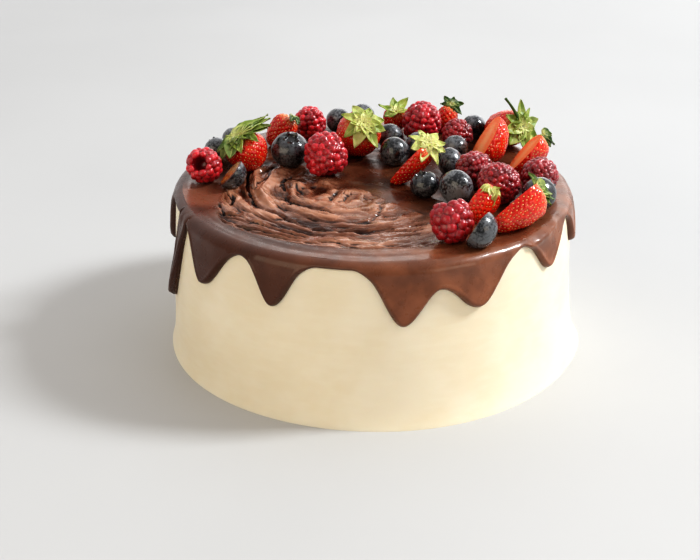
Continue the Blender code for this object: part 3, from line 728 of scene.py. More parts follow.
def ganache_finish():
    material, tree, shader = new_material("chocolate ganache", {
        "Roughness": 0.3, "Specular IOR Level": 0.36, "Coat Weight": 0.2, "Coat Roughness": 0.07,
        "Subsurface Weight": 0.06, "Subsurface Radius": (1.0, 0.35, 0.2), "Subsurface Scale": 0.002,
    })
    cloud, grain = handled(tree, 16.0, 0.9)
    worked, raised, hanging, edge, pooled, furrow, glossy = (
        marked(tree, name) for name in ("worked", "raised", "hanging", "edge", "pooled", "furrow", "glossy"))
    along = scaled(tree, marked(tree, "round"), 0.06)
    place = put(tree, "ShaderNodeCombineXYZ", X=marked(tree, "out"), Y=along)
    streaks = put(tree, "ShaderNodeTexNoise", Vector=place.outputs[0], Scale=0.9, Detail=4.0, Distortion=0.2)
    streaks = streaks.outputs["Fac"]
    tone = mix(tree, span(tree, cloud, 0.35, 0.68), (0.055, 0.018, 0.009), (0.135, 0.049, 0.024))
    # Painted light and shade on the drips: darker at the left, where they face away from the window, and
    # lighter towards the window on the right, with darker patches at random
    sideways = put(tree, "ShaderNodeSeparateXYZ", Vector=object_place(tree)).outputs["X"]
    painted_drip_shading = mix(tree, span(tree, sideways, -0.075, 0.045), (0.076, 0.024, 0.012), (0.345, 0.135, 0.067))
    painted_drip_shading = mix(tree, span(tree, speckle(tree, 11.0), 0.32, 0.68, 0.5, 0.0), painted_drip_shading, (0.070, 0.023, 0.011))
    tone = mix(tree, scaled(tree, hanging, 0.85), tone, painted_drip_shading)
    # Painted shade: a dark outline along each drip's edge
    tone = mix(tree, scaled(tree, edge, 0.6), tone, (0.034, 0.010, 0.005))
    scraped = mix(tree, span(tree, streaks, 0.30, 0.70), (0.175, 0.064, 0.034), (0.33, 0.145, 0.085))
    # Painted shade in the hollows between the folds, and painted light on their crests
    scraped = mix(tree, span(tree, raised, 0.12, 0.52, 1.0, 0.0), scraped, (0.040, 0.013, 0.007))
    scraped = mix(tree, span(tree, raised, 0.52, 0.90, 0.0, 0.9), scraped, (0.54, 0.275, 0.175))
    # Painted light: the patch of the top that the window lights is made lighter
    tone = mix(tree, scaled(tree, pooled, 0.85), tone, (0.245, 0.100, 0.060))
    tone = mix(tree, scaled(tree, worked, 0.9), tone, scraped)
    # Painted shade: the cracks are made near black
    tone = mix(tree, span(tree, furrow, 0.25, 0.85), tone, (0.018, 0.006, 0.004))
    patchy = span(tree, speckle(tree, 5.0), 0.35, 0.7, 0.26, 0.38)
    coloured(tree, shader, tone, maths(tree, "SUBTRACT", patchy, scaled(tree, worked, 0.15)))
    tree.links.new(maths(tree, "ADD", scaled(tree, glossy, 0.5), 0.05), shader.inputs["Coat Weight"])
    crumbs = maths(tree, "ADD", scaled(tree, grain, 0.5), scaled(tree, streaks, 0.6))
    bumped(tree, shader, scaled(tree, crumbs, maths(tree, "ADD", worked, 0.06)), 0.35, 0.9)
    return material


finish(ganache, ganache_finish(), "ganache")

# ---------------------------------------------------------------------------------------------------------
# Raspberries. Fresh ones, each a cone of drupelets round a hollow where the core pulled out. They are set on
# the ganache on their sides, or with the hollow down or up, and settle slightly under their own weight.

REST_HEIGHT = TOP_HEIGHT + GAP
# For each: (x, y), width, length, where its open end faces, and whether the hollow shows
RASPBERRIES = {
    1: ((-83, 4), 18.0, 18.5, (-0.25, -0.85, 0.45), True),
    2: ((-33, 71), 17.0, 17.0, (0.1, 0.2, -1.0), False),
    3: ((-24, 13), 22.0, 22.0, (0.25, -0.5, -0.85), False),
    4: ((26, 66), 21.0, 21.0, (-0.1, 0.3, -1.0), False),
    5: ((43.5, 53.5), 16.0, 17.0, (0.4, 0.7, -0.4), False),
    6: ((48.5, -2), 18.5, 19.0, (0.5, 0.8, -0.3), False),
    7: ((58.5, -22.5), 20.0, 20.5, (0.6, 0.5, -0.5), False),
    8: ((79.5, -10), 18.5, 19.5, (0.3, 0.9, -0.3), False),
    9: ((34, -69), 20.5, 20.0, (-0.2, 0.35, 0.9), True),
}
RIPE_DARK = (5, 6, 7, 8)
LESS_BRIGHT = {9: 0.35}
DRUPELETS_APART = {1: 3.6, 2: 3.4, 3: 3.8, 4: 3.6, 5: 2.9, 6: 3.0, 7: 3.0, 8: 3.0, 9: 4.6}
DRUPELET_LIFTS = {9: 0.75}
DRUPELET_LIFT = 1.0
RASPBERRY_PRESS = 0.9
HOLLOW_MOUTH = ((0.0, -0.05), (0.26, -0.02), (0.33, 0.20), (0.38, 0.60), (0.42, 0.84))
SHUT_MOUTH = ((0.0, 0.80), (0.20, 0.82), (0.35, 0.88))
RASPBERRY_WALL = ((0.52, 0.97), (0.70, 0.92), (0.88, 0.70), (0.99, 0.35), (1.0, 0.05), (0.95, -0.28),
                  (0.84, -0.58), (0.66, -0.80), (0.42, -0.94), (0.2, -0.99), (0.0, -1.0))
SWELL = 0.26
DRUPELET_SIZE = 0.62
DRUPELET_SEAT = 0.36
ROW_SHARE = 0.87
CREASE_WIDTH = 0.17
RASPBERRY_ROLL = (0.3, 0.2, 1.0)


def facing(axis, face):
    """A turn that takes +Z to the axis, and +Y as near to the face as it can."""
    up = Vector(axis).normalized()
    forward = Vector(face) - up * up.dot(Vector(face))
    if forward.length < 1e-3:
        forward = up.orthogonal()
    forward.normalize()
    return np.array(Matrix((forward.cross(up), forward, up)).transposed())


def set_down(points, place, turn, press):
    """Turns a berry's points, sets them on the ganache and presses flat what they rest on. It also returns
    where the berry's own middle comes to be."""
    turned = points @ turn.T
    middle = np.array([*place, REST_HEIGHT - press - turned[:, 2].min()])
    turned += middle
    turned[:, 2] = np.maximum(turned[:, 2], REST_HEIGHT)
    return turned, middle


def rounded(line, times=3):
    """The line with its corners cut off again and again, and its ends kept."""
    line = np.array(line, float)
    for _ in range(times):
        cuts = [0.75 * line[:-1] + 0.25 * line[1:], 0.25 * line[:-1] + 0.75 * line[1:]]
        line = np.concatenate([line[:1], np.stack(cuts, axis=1).reshape(-1, 2), line[-1:]])
    return line


def lengths_down(line):
    """How far down the line each of its points lies."""
    return np.concatenate([[0], np.cumsum(np.linalg.norm(np.diff(line, axis=0), axis=1))])


def on_line(line, lengths, down):
    """The radius and the height of the line, this far down it."""
    return np.interp(down, lengths, line[:, 0]), np.interp(down, lengths, line[:, 1])


def spun(piece, line):
    """Turns a ball into the body that the line of (radius, height) points turns. It returns the points, the
    direction out of the surface at each, how far down the line each lies, and its angle round."""
    ball = points_of(piece)
    ball /= np.linalg.norm(ball, axis=1)[:, None]
    share = np.arccos(np.clip(ball[:, 2], -1, 1)) / math.pi
    angle = np.arctan2(ball[:, 1], ball[:, 0])
    lengths = lengths_down(line)
    down = share * lengths[-1]
    radius, height = on_line(line, lengths, down)
    tangent = np.gradient(line, lengths, axis=0)
    tangent /= np.linalg.norm(tangent, axis=1)[:, None]
    lean_up, lean_down = on_line(tangent, lengths, down)
    around = np.stack([np.cos(angle), np.sin(angle)], axis=1)
    points = np.concatenate([around * radius[:, None], height[:, None]], axis=1)
    outward = np.concatenate([around * -lean_down[:, None], lean_up[:, None]], axis=1)
    return points, outward, down, angle


def drupelet_centres(line, lengths, spacing, start, draw):
    """The middles of the drupelets, in staggered rows from this far down the line to its end."""
    rows = max(3, round((lengths[-1] - start) / (ROW_SHARE * spacing)))
    centres = []
    for row in range(rows + 1):
        radius, height = on_line(line, lengths, start + (lengths[-1] - start) * row / rows)
        count = max(1, round(math.tau * radius / spacing))
        for place in range(count):
            angle = math.tau * (place + 0.5 * (row % 2) + draw.uniform(-0.2, 0.2)) / count
            lift = height + draw.uniform(-0.18, 0.18) * spacing
            centres.append((radius * math.cos(angle), radius * math.sin(angle), lift))
    return np.array(centres)


def raspberry_finish(name, deep, bright, edge, down):
    material, tree, shader = new_material(name, {
        "Roughness": 0.3, "Subsurface Weight": 0.25, "Subsurface Radius": (1.0, 0.12, 0.10),
        "Subsurface Scale": 0.0015, "Specular IOR Level": 0.55, "Coat Weight": 0.6, "Coat Roughness": 0.09,
        "Sheen Weight": down, "Sheen Roughness": 0.3,
    })
    cloud, grain = handled(tree, 5.0, 0.5)
    tone = mix(tree, span(tree, marked(tree, "tone"), 0.0, 1.0), deep, bright)
    tone = mix(tree, span(tree, cloud, 0.45, 0.75, 0.0, 0.4), tone, bright)
    # Painted shade: the creases and the hollow are darkened towards the third colour
    tone = mix(tree, scaled(tree, marked(tree, "crease"), 0.9), tone, edge)
    coloured(tree, shader, tone, span(tree, grain, 0.3, 0.7, 0.24, 0.42))
    bumped(tree, shader, grain, 0.08, 0.5)
    return material


# The third colour of each is the painted shade in its creases and hollow
bright_raspberry = raspberry_finish("raspberry", (0.34, 0.008, 0.018), (0.68, 0.026, 0.044),
                                    (0.07, 0.001, 0.004), 0.10)
dark_raspberry = raspberry_finish("dark raspberry", (0.17, 0.006, 0.013), (0.40, 0.017, 0.026),
                                  (0.025, 0.001, 0.002), 0.22)

for number, (place, width, length, open_end, hollow) in RASPBERRIES.items():
    spacing = DRUPELETS_APART[number]
    draw = random.Random(40 + number)
    ball = add(f"fresh_raspberry_{number}", bpy.ops.mesh.primitive_uv_sphere_add, segments=112, ring_count=84)
    mouth = HOLLOW_MOUTH if hollow else SHUT_MOUTH
    raised = DRUPELET_LIFTS.get(number, DRUPELET_LIFT)
    swell = SWELL * spacing * raised
    line = rounded(np.array(mouth + RASPBERRY_WALL) * (width / 2 - swell, length / 2 - swell))
    points, outward, down, angle = spun(ball, line)
    lengths = lengths_down(line)
    start = lengths[line[:, 1].argmax()]
    centres = drupelet_centres(line, lengths, spacing, start + 0.1 * spacing, draw)
    sizes = np.array([spacing * DRUPELET_SIZE * draw.uniform(0.86, 1.12) for _ in centres])
    tones = np.array([draw.random() for _ in centres]) * LESS_BRIGHT.get(number, 1.0)
    apart = np.linalg.norm(points[:, None, :] - centres[None, :, :], axis=2)
    rise = np.sqrt(np.maximum(sizes[None, :] ** 2 - apart**2, 0.0))
    order = np.argsort(rise, axis=1)
    second, first = np.take_along_axis(rise, order[:, -2:], axis=1).T
    outside = smooth_step((down - start + 0.8 * spacing) / (0.8 * spacing))
    points += outward * (raised * (first - DRUPELET_SEAT * spacing) * outside)[:, None]
    # Painted shade: how deep in the crease between drupelets each point lies
    crease = (1.0 - np.clip((first - second) / (CREASE_WIDTH * spacing), 0, 1)) ** 1.6
    points += 0.12 * unevenness(points, 3.0, number)[:, None] * outward
    settled, _ = set_down(points, place, facing(open_end, RASPBERRY_ROLL), RASPBERRY_PRESS)
    move_points(ball, settled)
    # The creases, and the inside of the hollow, get painted shade
    mark(ball, crease=np.maximum(crease * outside, 0.6 * (1 - outside)), tone=tones[order[:, -1]])
    skin = dark_raspberry if number in RIPE_DARK else bright_raspberry
    finish(ball, skin, f"raspberry_{number}")

# ---------------------------------------------------------------------------------------------------------
# Blueberries. Whole ones with the five-pointed crown that the flower left, under a grey waxy bloom that wears
# off where they were handled, and two cut in half.

# For each: (x, y), width, height as a share of the width, and where its crown faces
BLUEBERRIES = {
    1: ((-79.5, 34), 13.0, 0.88, (-0.3, 0.6, 0.6)),
    2: ((-71, 46), 14.0, 0.80, (0.5, 0.7, 0.2)),
    3: ((-42, 27.5), 19.5, 0.86, (0.1, -0.38, 0.9)),
    4: ((-18, 79), 13.5, 0.90, (0.1, 0.9, 0.3)),
    5: ((11, 29), 15.0, 0.98, (0.7, 0.5, -0.2)),
    6: ((9, 53), 14.0, 0.85, (0.2, 0.9, 0.2)),
    7: ((23, 42), 13.5, 0.85, (-0.5, 0.8, 0.2)),
    8: ((42, 37), 13.5, 0.90, (0.5, 0.6, 0.5)),
    9: ((38, 15), 14.5, 0.85, (0.9, 0.2, 0.1)),
    10: ((24, -14), 14.5, 0.85, (-0.35, -0.2, 0.85)),
    11: ((39, -24), 17.5, 0.80, (0.6, 0.7, 0.1)),
    12: ((53.5, 70), 13.0, 0.90, (0.2, 0.9, 0.3)),
    13: ((77.5, -31), 16.5, 0.95, (0.6, 0.5, 0.4)),
    14: ((-5, 88), 13.0, 0.90, (0.0, 0.9, 0.3)),
}
BLUEBERRY_LINE = ((0.0, 0.76), (0.15, 0.765), (0.24, 0.80), (0.285, 0.93), (0.325, 1.0), (0.365, 0.985),
                  (0.40, 0.885), (0.55, 0.83), (0.78, 0.63), (0.95, 0.28), (1.0, -0.05), (0.95, -0.38),
                  (0.80, -0.67), (0.56, -0.88), (0.28, -0.98), (0.0, -1.0))
RUBBED_CLEAN = {3: 0.5, 5: 0.7, 10: 0.5, 11: 1.5, 13: 0.3}
CROWN_RADIUS = 0.33
CROWN_WIDTH = 0.07
CROWN_POINTS = 5
BLUEBERRY_PRESS = 0.5
BLUEBERRY_ROLL = (0.2, 0.3, 1.0)
# For each half: (x, y), width, and where its cut faces
BLUEBERRY_HALVES = {
    1: ((-70, -4), 15.5, (-0.70, 0.0, 0.65)),
    2: ((45, -75.5), 18.0, (-0.8, 0.4, 0.45)),
}
CUT_HEIGHT = 0.3
CUT_RINGS = (0.95, 0.93, 0.9, 0.88, 0.85, 0.8, 0.7, 0.5, 0.4)
HALF_PRESS = 0.4
HALF_RUBBED = 0.6
PULP_SWELL = 0.35
PULP_LEDGE = 0.5
MERGE_LIMIT = 1e-7


def on_plane(points, offset, normal):
    """Which points lie on a cut made through (0, offset, 0), across the normal."""
    normal = np.array(normal, float) / np.linalg.norm(normal)
    return abs((points - (0, offset, 0)) @ normal) < 0.02


def ring_the_cut(piece, offset, normal, shares):
    """Lays rings of points on the flat face that a cut left, each this share of the one before."""
    edit(piece)
    bpy.ops.mesh.select_mode(type="VERT")
    bpy.ops.mesh.select_all(action="DESELECT")
    done_editing()
    points = points_of(piece)
    on_it = on_plane(points, offset, normal)
    piece.data.vertices.foreach_set("select", on_it)
    middle = 0.5 * (points[on_it].min(axis=0) + points[on_it].max(axis=0)) * MM
    bpy.ops.object.mode_set(mode="EDIT")
    for share in shares:
        bpy.ops.mesh.extrude_region_move()
        bpy.ops.transform.resize(value=(share, share, share), center_override=tuple(middle))
    done_editing()


def blueberry_finish():
    material, tree, shader = new_material("blueberry", {
        "Roughness": 0.35, "Specular IOR Level": 0.45, "Coat Weight": 0.8, "Coat Roughness": 0.10,
        "Subsurface Weight": 0.04, "Subsurface Radius": (0.5, 0.3, 0.6), "Subsurface Scale": 0.001,
    })
    cloud, grain = handled(tree, 6.0, 0.7)
    mottle = speckle(tree, 1.1, detail=6.0)
    patches = maths(tree, "ADD", scaled(tree, cloud, 0.55), scaled(tree, mottle, 0.45))
    bloom = scaled(tree, span(tree, patches, 0.40, 0.60), marked(tree, "waxy"))
    tone = mix(tree, bloom, (0.005, 0.006, 0.009), (0.185, 0.195, 0.21))
    tone = mix(tree, marked(tree, "crown"), tone, (0.010, 0.008, 0.009))
    coloured(tree, shader, tone, span(tree, bloom, 0.0, 1.0, 0.22, 0.5))
    bumped(tree, shader, grain, 0.06, 0.5)
    return material


def berry_pulp_finish():
    material, tree, shader = new_material("blueberry pulp", {
        "Roughness": 0.25, "Subsurface Weight": 0.4, "Subsurface Radius": (1.0, 0.5, 0.2),
        "Subsurface Scale": 0.003, "Coat Weight": 0.4, "Coat Roughness": 0.1,
    })
    cloud, grain = handled(tree, 2.2, 0.5)
    rim = span(tree, marked(tree, "from_middle"), 0.74, 1.0)
    tone = mix(tree, span(tree, cloud, 0.35, 0.65), (0.32, 0.13, 0.03), (0.55, 0.27, 0.08))
    tone = mix(tree, rim, tone, (0.10, 0.03, 0.03))
    coloured(tree, shader, tone)
    bumped(tree, shader, maths(tree, "ADD", cloud, grain), 0.3, 0.6)
    return material


blueberry_skin = blueberry_finish()
for number, (place, width, height_share, crown) in BLUEBERRIES.items():
    ball = add(f"fresh_blueberry_{number}", bpy.ops.mesh.primitive_uv_sphere_add, segments=80, ring_count=64)
    across, upward = width / 2, width / 2 * height_share
    line = rounded(np.array(BLUEBERRY_LINE) * (across, upward), 2)
    points, outward, down, angle = spun(ball, line)
    radius = np.hypot(points[:, 0], points[:, 1]) / across
    high = points[:, 2] / upward
    on_crown = hill(radius - CROWN_RADIUS, CROWN_WIDTH) * (high > 0.80)
    draw = random.Random(70 + number)
    lobes = np.cos(CROWN_POINTS * (angle + draw.uniform(0, 1)))
    lobes += 0.25 * np.cos(2 * angle + draw.uniform(0, 6))
    points[:, 2] += on_crown * (0.075 * lobes - 0.03) * upward
    points[:, :2] *= (1 + on_crown * 0.16 * lobes)[:, None]
    points += outward * (0.012 * width * unevenness(points, 6.0, number))[:, None]
    settled, _ = set_down(points, place, facing(crown, BLUEBERRY_ROLL), BLUEBERRY_PRESS)
    move_points(ball, settled)
    mark(ball, crown=smooth_step((0.40 - radius) / 0.08) * (high > 0.6), waxy=RUBBED_CLEAN.get(number, 1.0))
    finish(ball, blueberry_skin, f"blueberry_{number}")

pulp = berry_pulp_finish()
for number, (place, width, cut_faces) in BLUEBERRY_HALVES.items():
    half = add(f"halved_blueberry_{number}", bpy.ops.mesh.primitive_uv_sphere_add, segments=80, ring_count=64,
               radius=width / 2 * MM)
    edit(half)
    bpy.ops.mesh.bisect(plane_co=(0, 0, CUT_HEIGHT * MM), plane_no=(0, 0, 1), use_fill=True, clear_outer=True,
                        threshold=MERGE_LIMIT)
    done_editing()
    points = points_of(half)
    points[:, 2] -= CUT_HEIGHT
    move_points(half, points)
    ring_the_cut(half, 0.0, (0, 0, 1), CUT_RINGS)
    points = points_of(half)
    from_middle = np.hypot(points[:, 0], points[:, 1]) / (width / 2)
    on_cut = points[:, 2] > -0.02
    ledge = PULP_LEDGE * smooth_step((from_middle - 0.9) / 0.1)
    points[:, 2] += on_cut * (PULP_SWELL * (1 - from_middle**2) - ledge)
    points[:, 2] += on_cut * 0.25 * unevenness(points, 1.6, number) * (from_middle < 0.92)
    settled, _ = set_down(points, place, facing(cut_faces, BLUEBERRY_ROLL), HALF_PRESS)
    move_points(half, settled)
    mark(half, from_middle=np.where(on_cut, from_middle, 1.0), crown=0.0, waxy=HALF_RUBBED)
    finish(half, blueberry_skin, f"blueberry_half_{number}", angle=60)
    half.data.materials.append(pulp)
    for face in half.data.polygons:
        if all(on_cut[index] for index in face.vertices):
            face.material_index = 1

# ---------------------------------------------------------------------------------------------------------
# Strawberries. Small ripe ones, whole, halved or in wedges, laid between the other fruit with the cut side to
# the back or to the left. Each has its seeds in dimples, and pale flesh round a core where it is cut.

# For each: (x, y), width, length, where its leafy end points, where its cut faces, and how it is cut
STRAWBERRIES = {
    1: ((-62.5, 21.5), 21.0, 18.0, (-0.52, 0.0, 0.85), (0, 0, 1), "whole"),
    2: ((-48, 56), 14.5, 19.0, (0.5, 0.1, 0.75), (-0.2, 0.95, 0.1), "half"),
    3: ((-8, 41), 23.0, 24.0, (0.2, -0.6, 0.7), (0, 0, 1), "whole"),
    4: ((12, 79), 13.0, 15.0, (0.1, -0.4, 0.8), (0.2, 1.0, 0.2), "half"),
    5: ((17, 2), 15.0, 27.0, (0.65, -0.03, 0.75), (-0.3, 0.9, 0.3), "wedge"),
    6: ((57.5, 32), 23.0, 25.0, (-0.5, -0.35, -0.8), (-0.9, -0.1, 0.4), "half"),
    7: ((68.5, 60), 19.0, 25.0, (0.6, -0.72, 0.33), (0, 0, 1), "whole"),
    8: ((75, 18), 19.0, 25.0, (0.6, 0.4, 0.6), (-0.85, -0.05, 0.45), "half"),
    9: ((62, -55), 23.0, 30.0, (0.72, 0.55, 0.35), (-0.6, 0.5, 0.6), "half"),
    10: ((47.5, -42), 17.0, 23.0, (0.6, 0.6, 0.45), (-0.3, 1.0, -0.3), "wedge"),
    11: ((38.5, 79), 12.0, 16.0, (0.4, 0.2, 0.8), (-0.3, 1.0, 0.2), "half"),
}
BLUNT_SHOULDER = 0.8
BLUNTER = {9: 0.62}
FULL_FLESH = 0.9
# The cuts of each kind: how far each lies from the axis, and where it faces
CUT_PLANES = {"whole": (), "half": ((0.6, (0, 1, 0)),), "wedge": ((0.5, (0.55, 1, 0)), (0.5, (-0.85, 1, 0)))}
STRAWBERRY_PRESS = 0.7
SEED_SPACING = 2.25
SEED_SIZE = (0.27, 0.17, 0.44)
PALE_FROM = 0.62
DIMPLE_DEPTH = 0.55
DIMPLE_WIDTH = 0.75
SEED_LIFT = 0.10
CUT_MARGIN = 0.5


def strawberry_line(number, rings=60):
    """(radius, height) points from the leafy shoulder, over the widest part, down to the tip."""
    _, width, length, *_ = STRAWBERRIES[number]
    share = np.arange(rings + 1) / rings
    blunt = BLUNTER.get(number, BLUNT_SHOULDER)
    radius = 0.5 * width * np.sin(math.pi * np.minimum(share, 1.0) ** blunt).clip(0) ** FULL_FLESH
    radius[0] = radius[-1] = 0.0
    return np.stack([radius, 0.5 * length * np.cos(math.pi * share)], axis=1)


def seed_places(line, spacing, draw):
    """Places on a spiral down the berry, evenly spread over its skin."""
    steps = np.linalg.norm(np.diff(line, axis=0), axis=1)
    areas = np.concatenate([[0], np.cumsum(steps * math.tau * 0.5 * (line[1:, 0] + line[:-1, 0]))])
    count = round(areas[-1] / (ROW_SHARE * spacing**2))
    places = []
    for index in range(count):
        radius, height = on_line(line, areas, areas[-1] * (index + 0.5) / count)
        angle = index * math.pi * (3 - math.sqrt(5)) + draw.uniform(-0.08, 0.08)
        if radius > 0.25 * line[:, 0].max() or height < 0:
            places.append((radius * math.cos(angle), radius * math.sin(angle), height))
    return np.array(places)


def strawberry_skin_finish():
    material, tree, shader = new_material("strawberry skin", {
        "Roughness": 0.3, "Subsurface Weight": 0.2, "Subsurface Radius": (1.0, 0.18, 0.06),
        "Subsurface Scale": 0.002, "Specular IOR Level": 0.4, "Coat Weight": 0.6, "Coat Roughness": 0.06,
    })
    cloud, grain = handled(tree, 7.0, 0.6)
    tone = mix(tree, span(tree, cloud, 0.35, 0.7), (0.56, 0.012, 0.007), (0.78, 0.045, 0.012))
    tone = mix(tree, marked(tree, "pale"), tone, (0.88, 0.36, 0.13))
    # Painted shade in the dimples round the seeds
    tone = mix(tree, scaled(tree, marked(tree, "dimple"), 0.35), tone, (0.36, 0.006, 0.004))
    coloured(tree, shader, tone, span(tree, grain, 0.3, 0.7, 0.11, 0.26))
    bumped(tree, shader, grain, 0.05, 0.5)
    return material


def seed_finish():
    material, tree, shader = new_material("strawberry seed", {"Roughness": 0.35, "Coat Weight": 0.3})
    cloud, grain = handled(tree, 3.0, 0.4)
    tone = mix(tree, span(tree, cloud, 0.3, 0.7), (0.80, 0.36, 0.10), (0.90, 0.58, 0.24))
    coloured(tree, shader, tone)
    bumped(tree, shader, grain, 0.04, 0.4)
    return material


def strawberry_flesh_finish():
    """The cut face: a pale core, a streaked middle and a red edge, laid out on the piece's own cut map."""
    material, tree, shader = new_material("strawberry flesh", {
        "Roughness": 0.5, "Subsurface Weight": 0.4, "Subsurface Radius": (1.0, 0.3, 0.12),
        "Subsurface Scale": 0.008, "Specular IOR Level": 0.12, "Coat Weight": 0.03, "Coat Roughness": 0.15,
    })
    out = marked(tree, "from_core")
    cloud, grain = handled(tree, 3.0, 0.6)
    place = put(tree, "ShaderNodeUVMap", {"uv_map": "cut"}).outputs[0]
    streaks = put(tree, "ShaderNodeTexNoise", Vector=place, Scale=9.0, Detail=4.0, Distortion=0.3)
    streaks = streaks.outputs["Fac"]
    tone = mix(tree, span(tree, out, 0.10, 0.55), (1.0, 0.40, 0.19), (1.0, 0.22, 0.08))
    tone = mix(tree, span(tree, streaks, 0.42, 0.66, 0.0, 0.6), tone, (1.0, 0.42, 0.19))
    tone = mix(tree, span(tree, out, 0.78, 1.0), tone, (0.90, 0.09, 0.022))
    coloured(tree, shader, tone)
    bumped(tree, shader, maths(tree, "ADD", streaks, scaled(tree, grain, 0.5)), 0.25, 0.6)
    return material


def taken_apart(pattern):
    """The points and faces of a pattern that is only copied, and then taken away."""
    points, faces = points_of(pattern), [tuple(face.vertices) for face in pattern.data.polygons]
    bpy.data.objects.remove(pattern)
    return points, faces


def copy_of(faces, start):
    """The faces of a pattern's copy, whose points are numbered from the start."""
    return [tuple(index + start for index in face) for face in faces]


def piece_of(name, points, faces):
    """A piece with these points, in millimetres, and faces."""
    mesh = bpy.data.meshes.new(name)
    mesh.from_pydata([tuple(point * MM) for point in np.array(points)], [], faces)
    piece = bpy.data.objects.new(name, mesh)
    bpy.context.scene.collection.objects.link(piece)
    return piece


def add_seeds(name, places, outwards):
    """One mesh of all the seeds of a berry, each lying along the berry with its point down."""
    points, faces = [], []
    for place, outward in zip(places, outwards):
        at_an_end = abs(outward[2]) >= 0.98
        turn = np.eye(3) if at_an_end else facing((0, 0, 1) - outward * outward[2], outward)
        faces += copy_of(seed_faces, len(points))
        points += list(seed_points @ turn.T + place)
    return piece_of(name, points, faces)


strawberry_coats = (strawberry_skin_finish(), strawberry_flesh_finish(), seed_finish())
seed_pattern = add("seed_pattern", bpy.ops.mesh.primitive_uv_sphere_add, segments=8, ring_count=5, radius=MM)
seed_points, seed_faces = taken_apart(seed_pattern)
seed_points *= SEED_SIZE
strawberries_placed = {}

for number, (place, width, length, leafy_end, cut_faces, cut) in STRAWBERRIES.items():
    body = add(f"fresh_strawberry_{number}", bpy.ops.mesh.primitive_uv_sphere_add, segments=96, ring_count=80)
    draw = random.Random(130 + number)
    line = strawberry_line(number)
    points, outward, down, angle = spun(body, line)
    seats = seed_places(line, SEED_SPACING * draw.uniform(0.95, 1.08), draw)
    lumps = 0.018 * width * unevenness(points, 7.0, 50 + number)
    seat_tree = kdtree.KDTree(len(seats))
    for index, seat in enumerate(seats):
        seat_tree.insert(seat, index)
    seat_tree.balance()
    off = np.array([seat_tree.find(point)[2] for point in points])
    dimple = hill(off, DIMPLE_WIDTH)
    points += outward * (lumps - DIMPLE_DEPTH * dimple)[:, None]
    nearest = [int(np.argmin(np.linalg.norm(points - seat, axis=1))) for seat in seats]
    seat_out = outward[nearest]
    seat_at = points[nearest] + SEED_LIFT * seat_out
    kept = np.ones(len(seats), bool)
    for offset, normal in CUT_PLANES[cut]:
        normal = np.array(normal, float)
        kept &= (seat_at - (0, offset, 0)) @ normal / np.linalg.norm(normal) < -CUT_MARGIN
    move_points(body, points)
    # The dimple mark also carries painted shade into the dimples
    mark(body, dimple=dimple,
         pale=0.75 * smooth_step((points[:, 2] / (0.5 * length) - PALE_FROM) / (1 - PALE_FROM)))
    if cut != "whole":
        edit(body)
        for offset, normal in CUT_PLANES[cut]:
            bpy.ops.mesh.select_all(action="SELECT")
            bpy.ops.mesh.bisect(plane_co=(0, offset * MM, 0), plane_no=normal, use_fill=True,
                                clear_outer=True, threshold=MERGE_LIMIT)
        done_editing()
        for offset, normal in CUT_PLANES[cut]:
            ring_the_cut(body, offset, normal, CUT_RINGS)
    points = points_of(body)
    on_cut = np.zeros(len(points), bool)
    for offset, normal in CUT_PLANES[cut]:
        on_cut |= on_plane(points, offset, normal)
    ends = np.interp(points[:, 2], line[::-1, 1], line[::-1, 0])
    away = np.hypot(points[:, 0], points[:, 1] if cut == "wedge" else 0 * points[:, 1])
    tip_ward = abs(points[:, 2]) / (0.5 * length)
    core = np.maximum(away / np.maximum(ends, 0.4), tip_ward**3)
    cut_map = body.data.uv_layers.new(name="cut")
    corners = np.array([loop.vertex_index for loop in body.data.loops])
    spread = np.stack([core * 0.35, points[:, 2] / length * 2.0 + 4 * np.sign(points[:, 0])], axis=1)
    cut_map.data.foreach_set("uv", spread[corners].astype(np.float32).ravel())
    mark(body, from_core=np.clip(core, 0, 1))
    turn = facing(leafy_end, cut_faces)
    settled, middle = set_down(points, place, turn, STRAWBERRY_PRESS)
    move_points(body, settled)
    strawberries_placed[number] = (turn, middle)
    seeds = add_seeds(f"seeds_{number}", seat_at[kept], seat_out[kept])
    seed_spots = points_of(seeds) @ turn.T + middle
    seed_spots[:, 2] = np.maximum(seed_spots[:, 2], REST_HEIGHT)
    move_points(seeds, seed_spots)
    for piece in (body, seeds):
        piece.data.materials.clear()
        for material in strawberry_coats:
            piece.data.materials.append(material)
    for face in body.data.polygons:
        face.material_index = 1 if all(on_cut[index] for index in face.vertices) else 0
    for face in seeds.data.polygons:
        face.material_index = 2
    pick(seeds, body)
    bpy.ops.object.join()
    finish(body, None, f"strawberry_{number}", angle=55)

# ---------------------------------------------------------------------------------------------------------
# Strawberry leaves. The green cap that stays on the berry: thin pointed leaves, folded along the middle, that
# curl up as they dry. One berry keeps its stem.

LEAFY_END = None
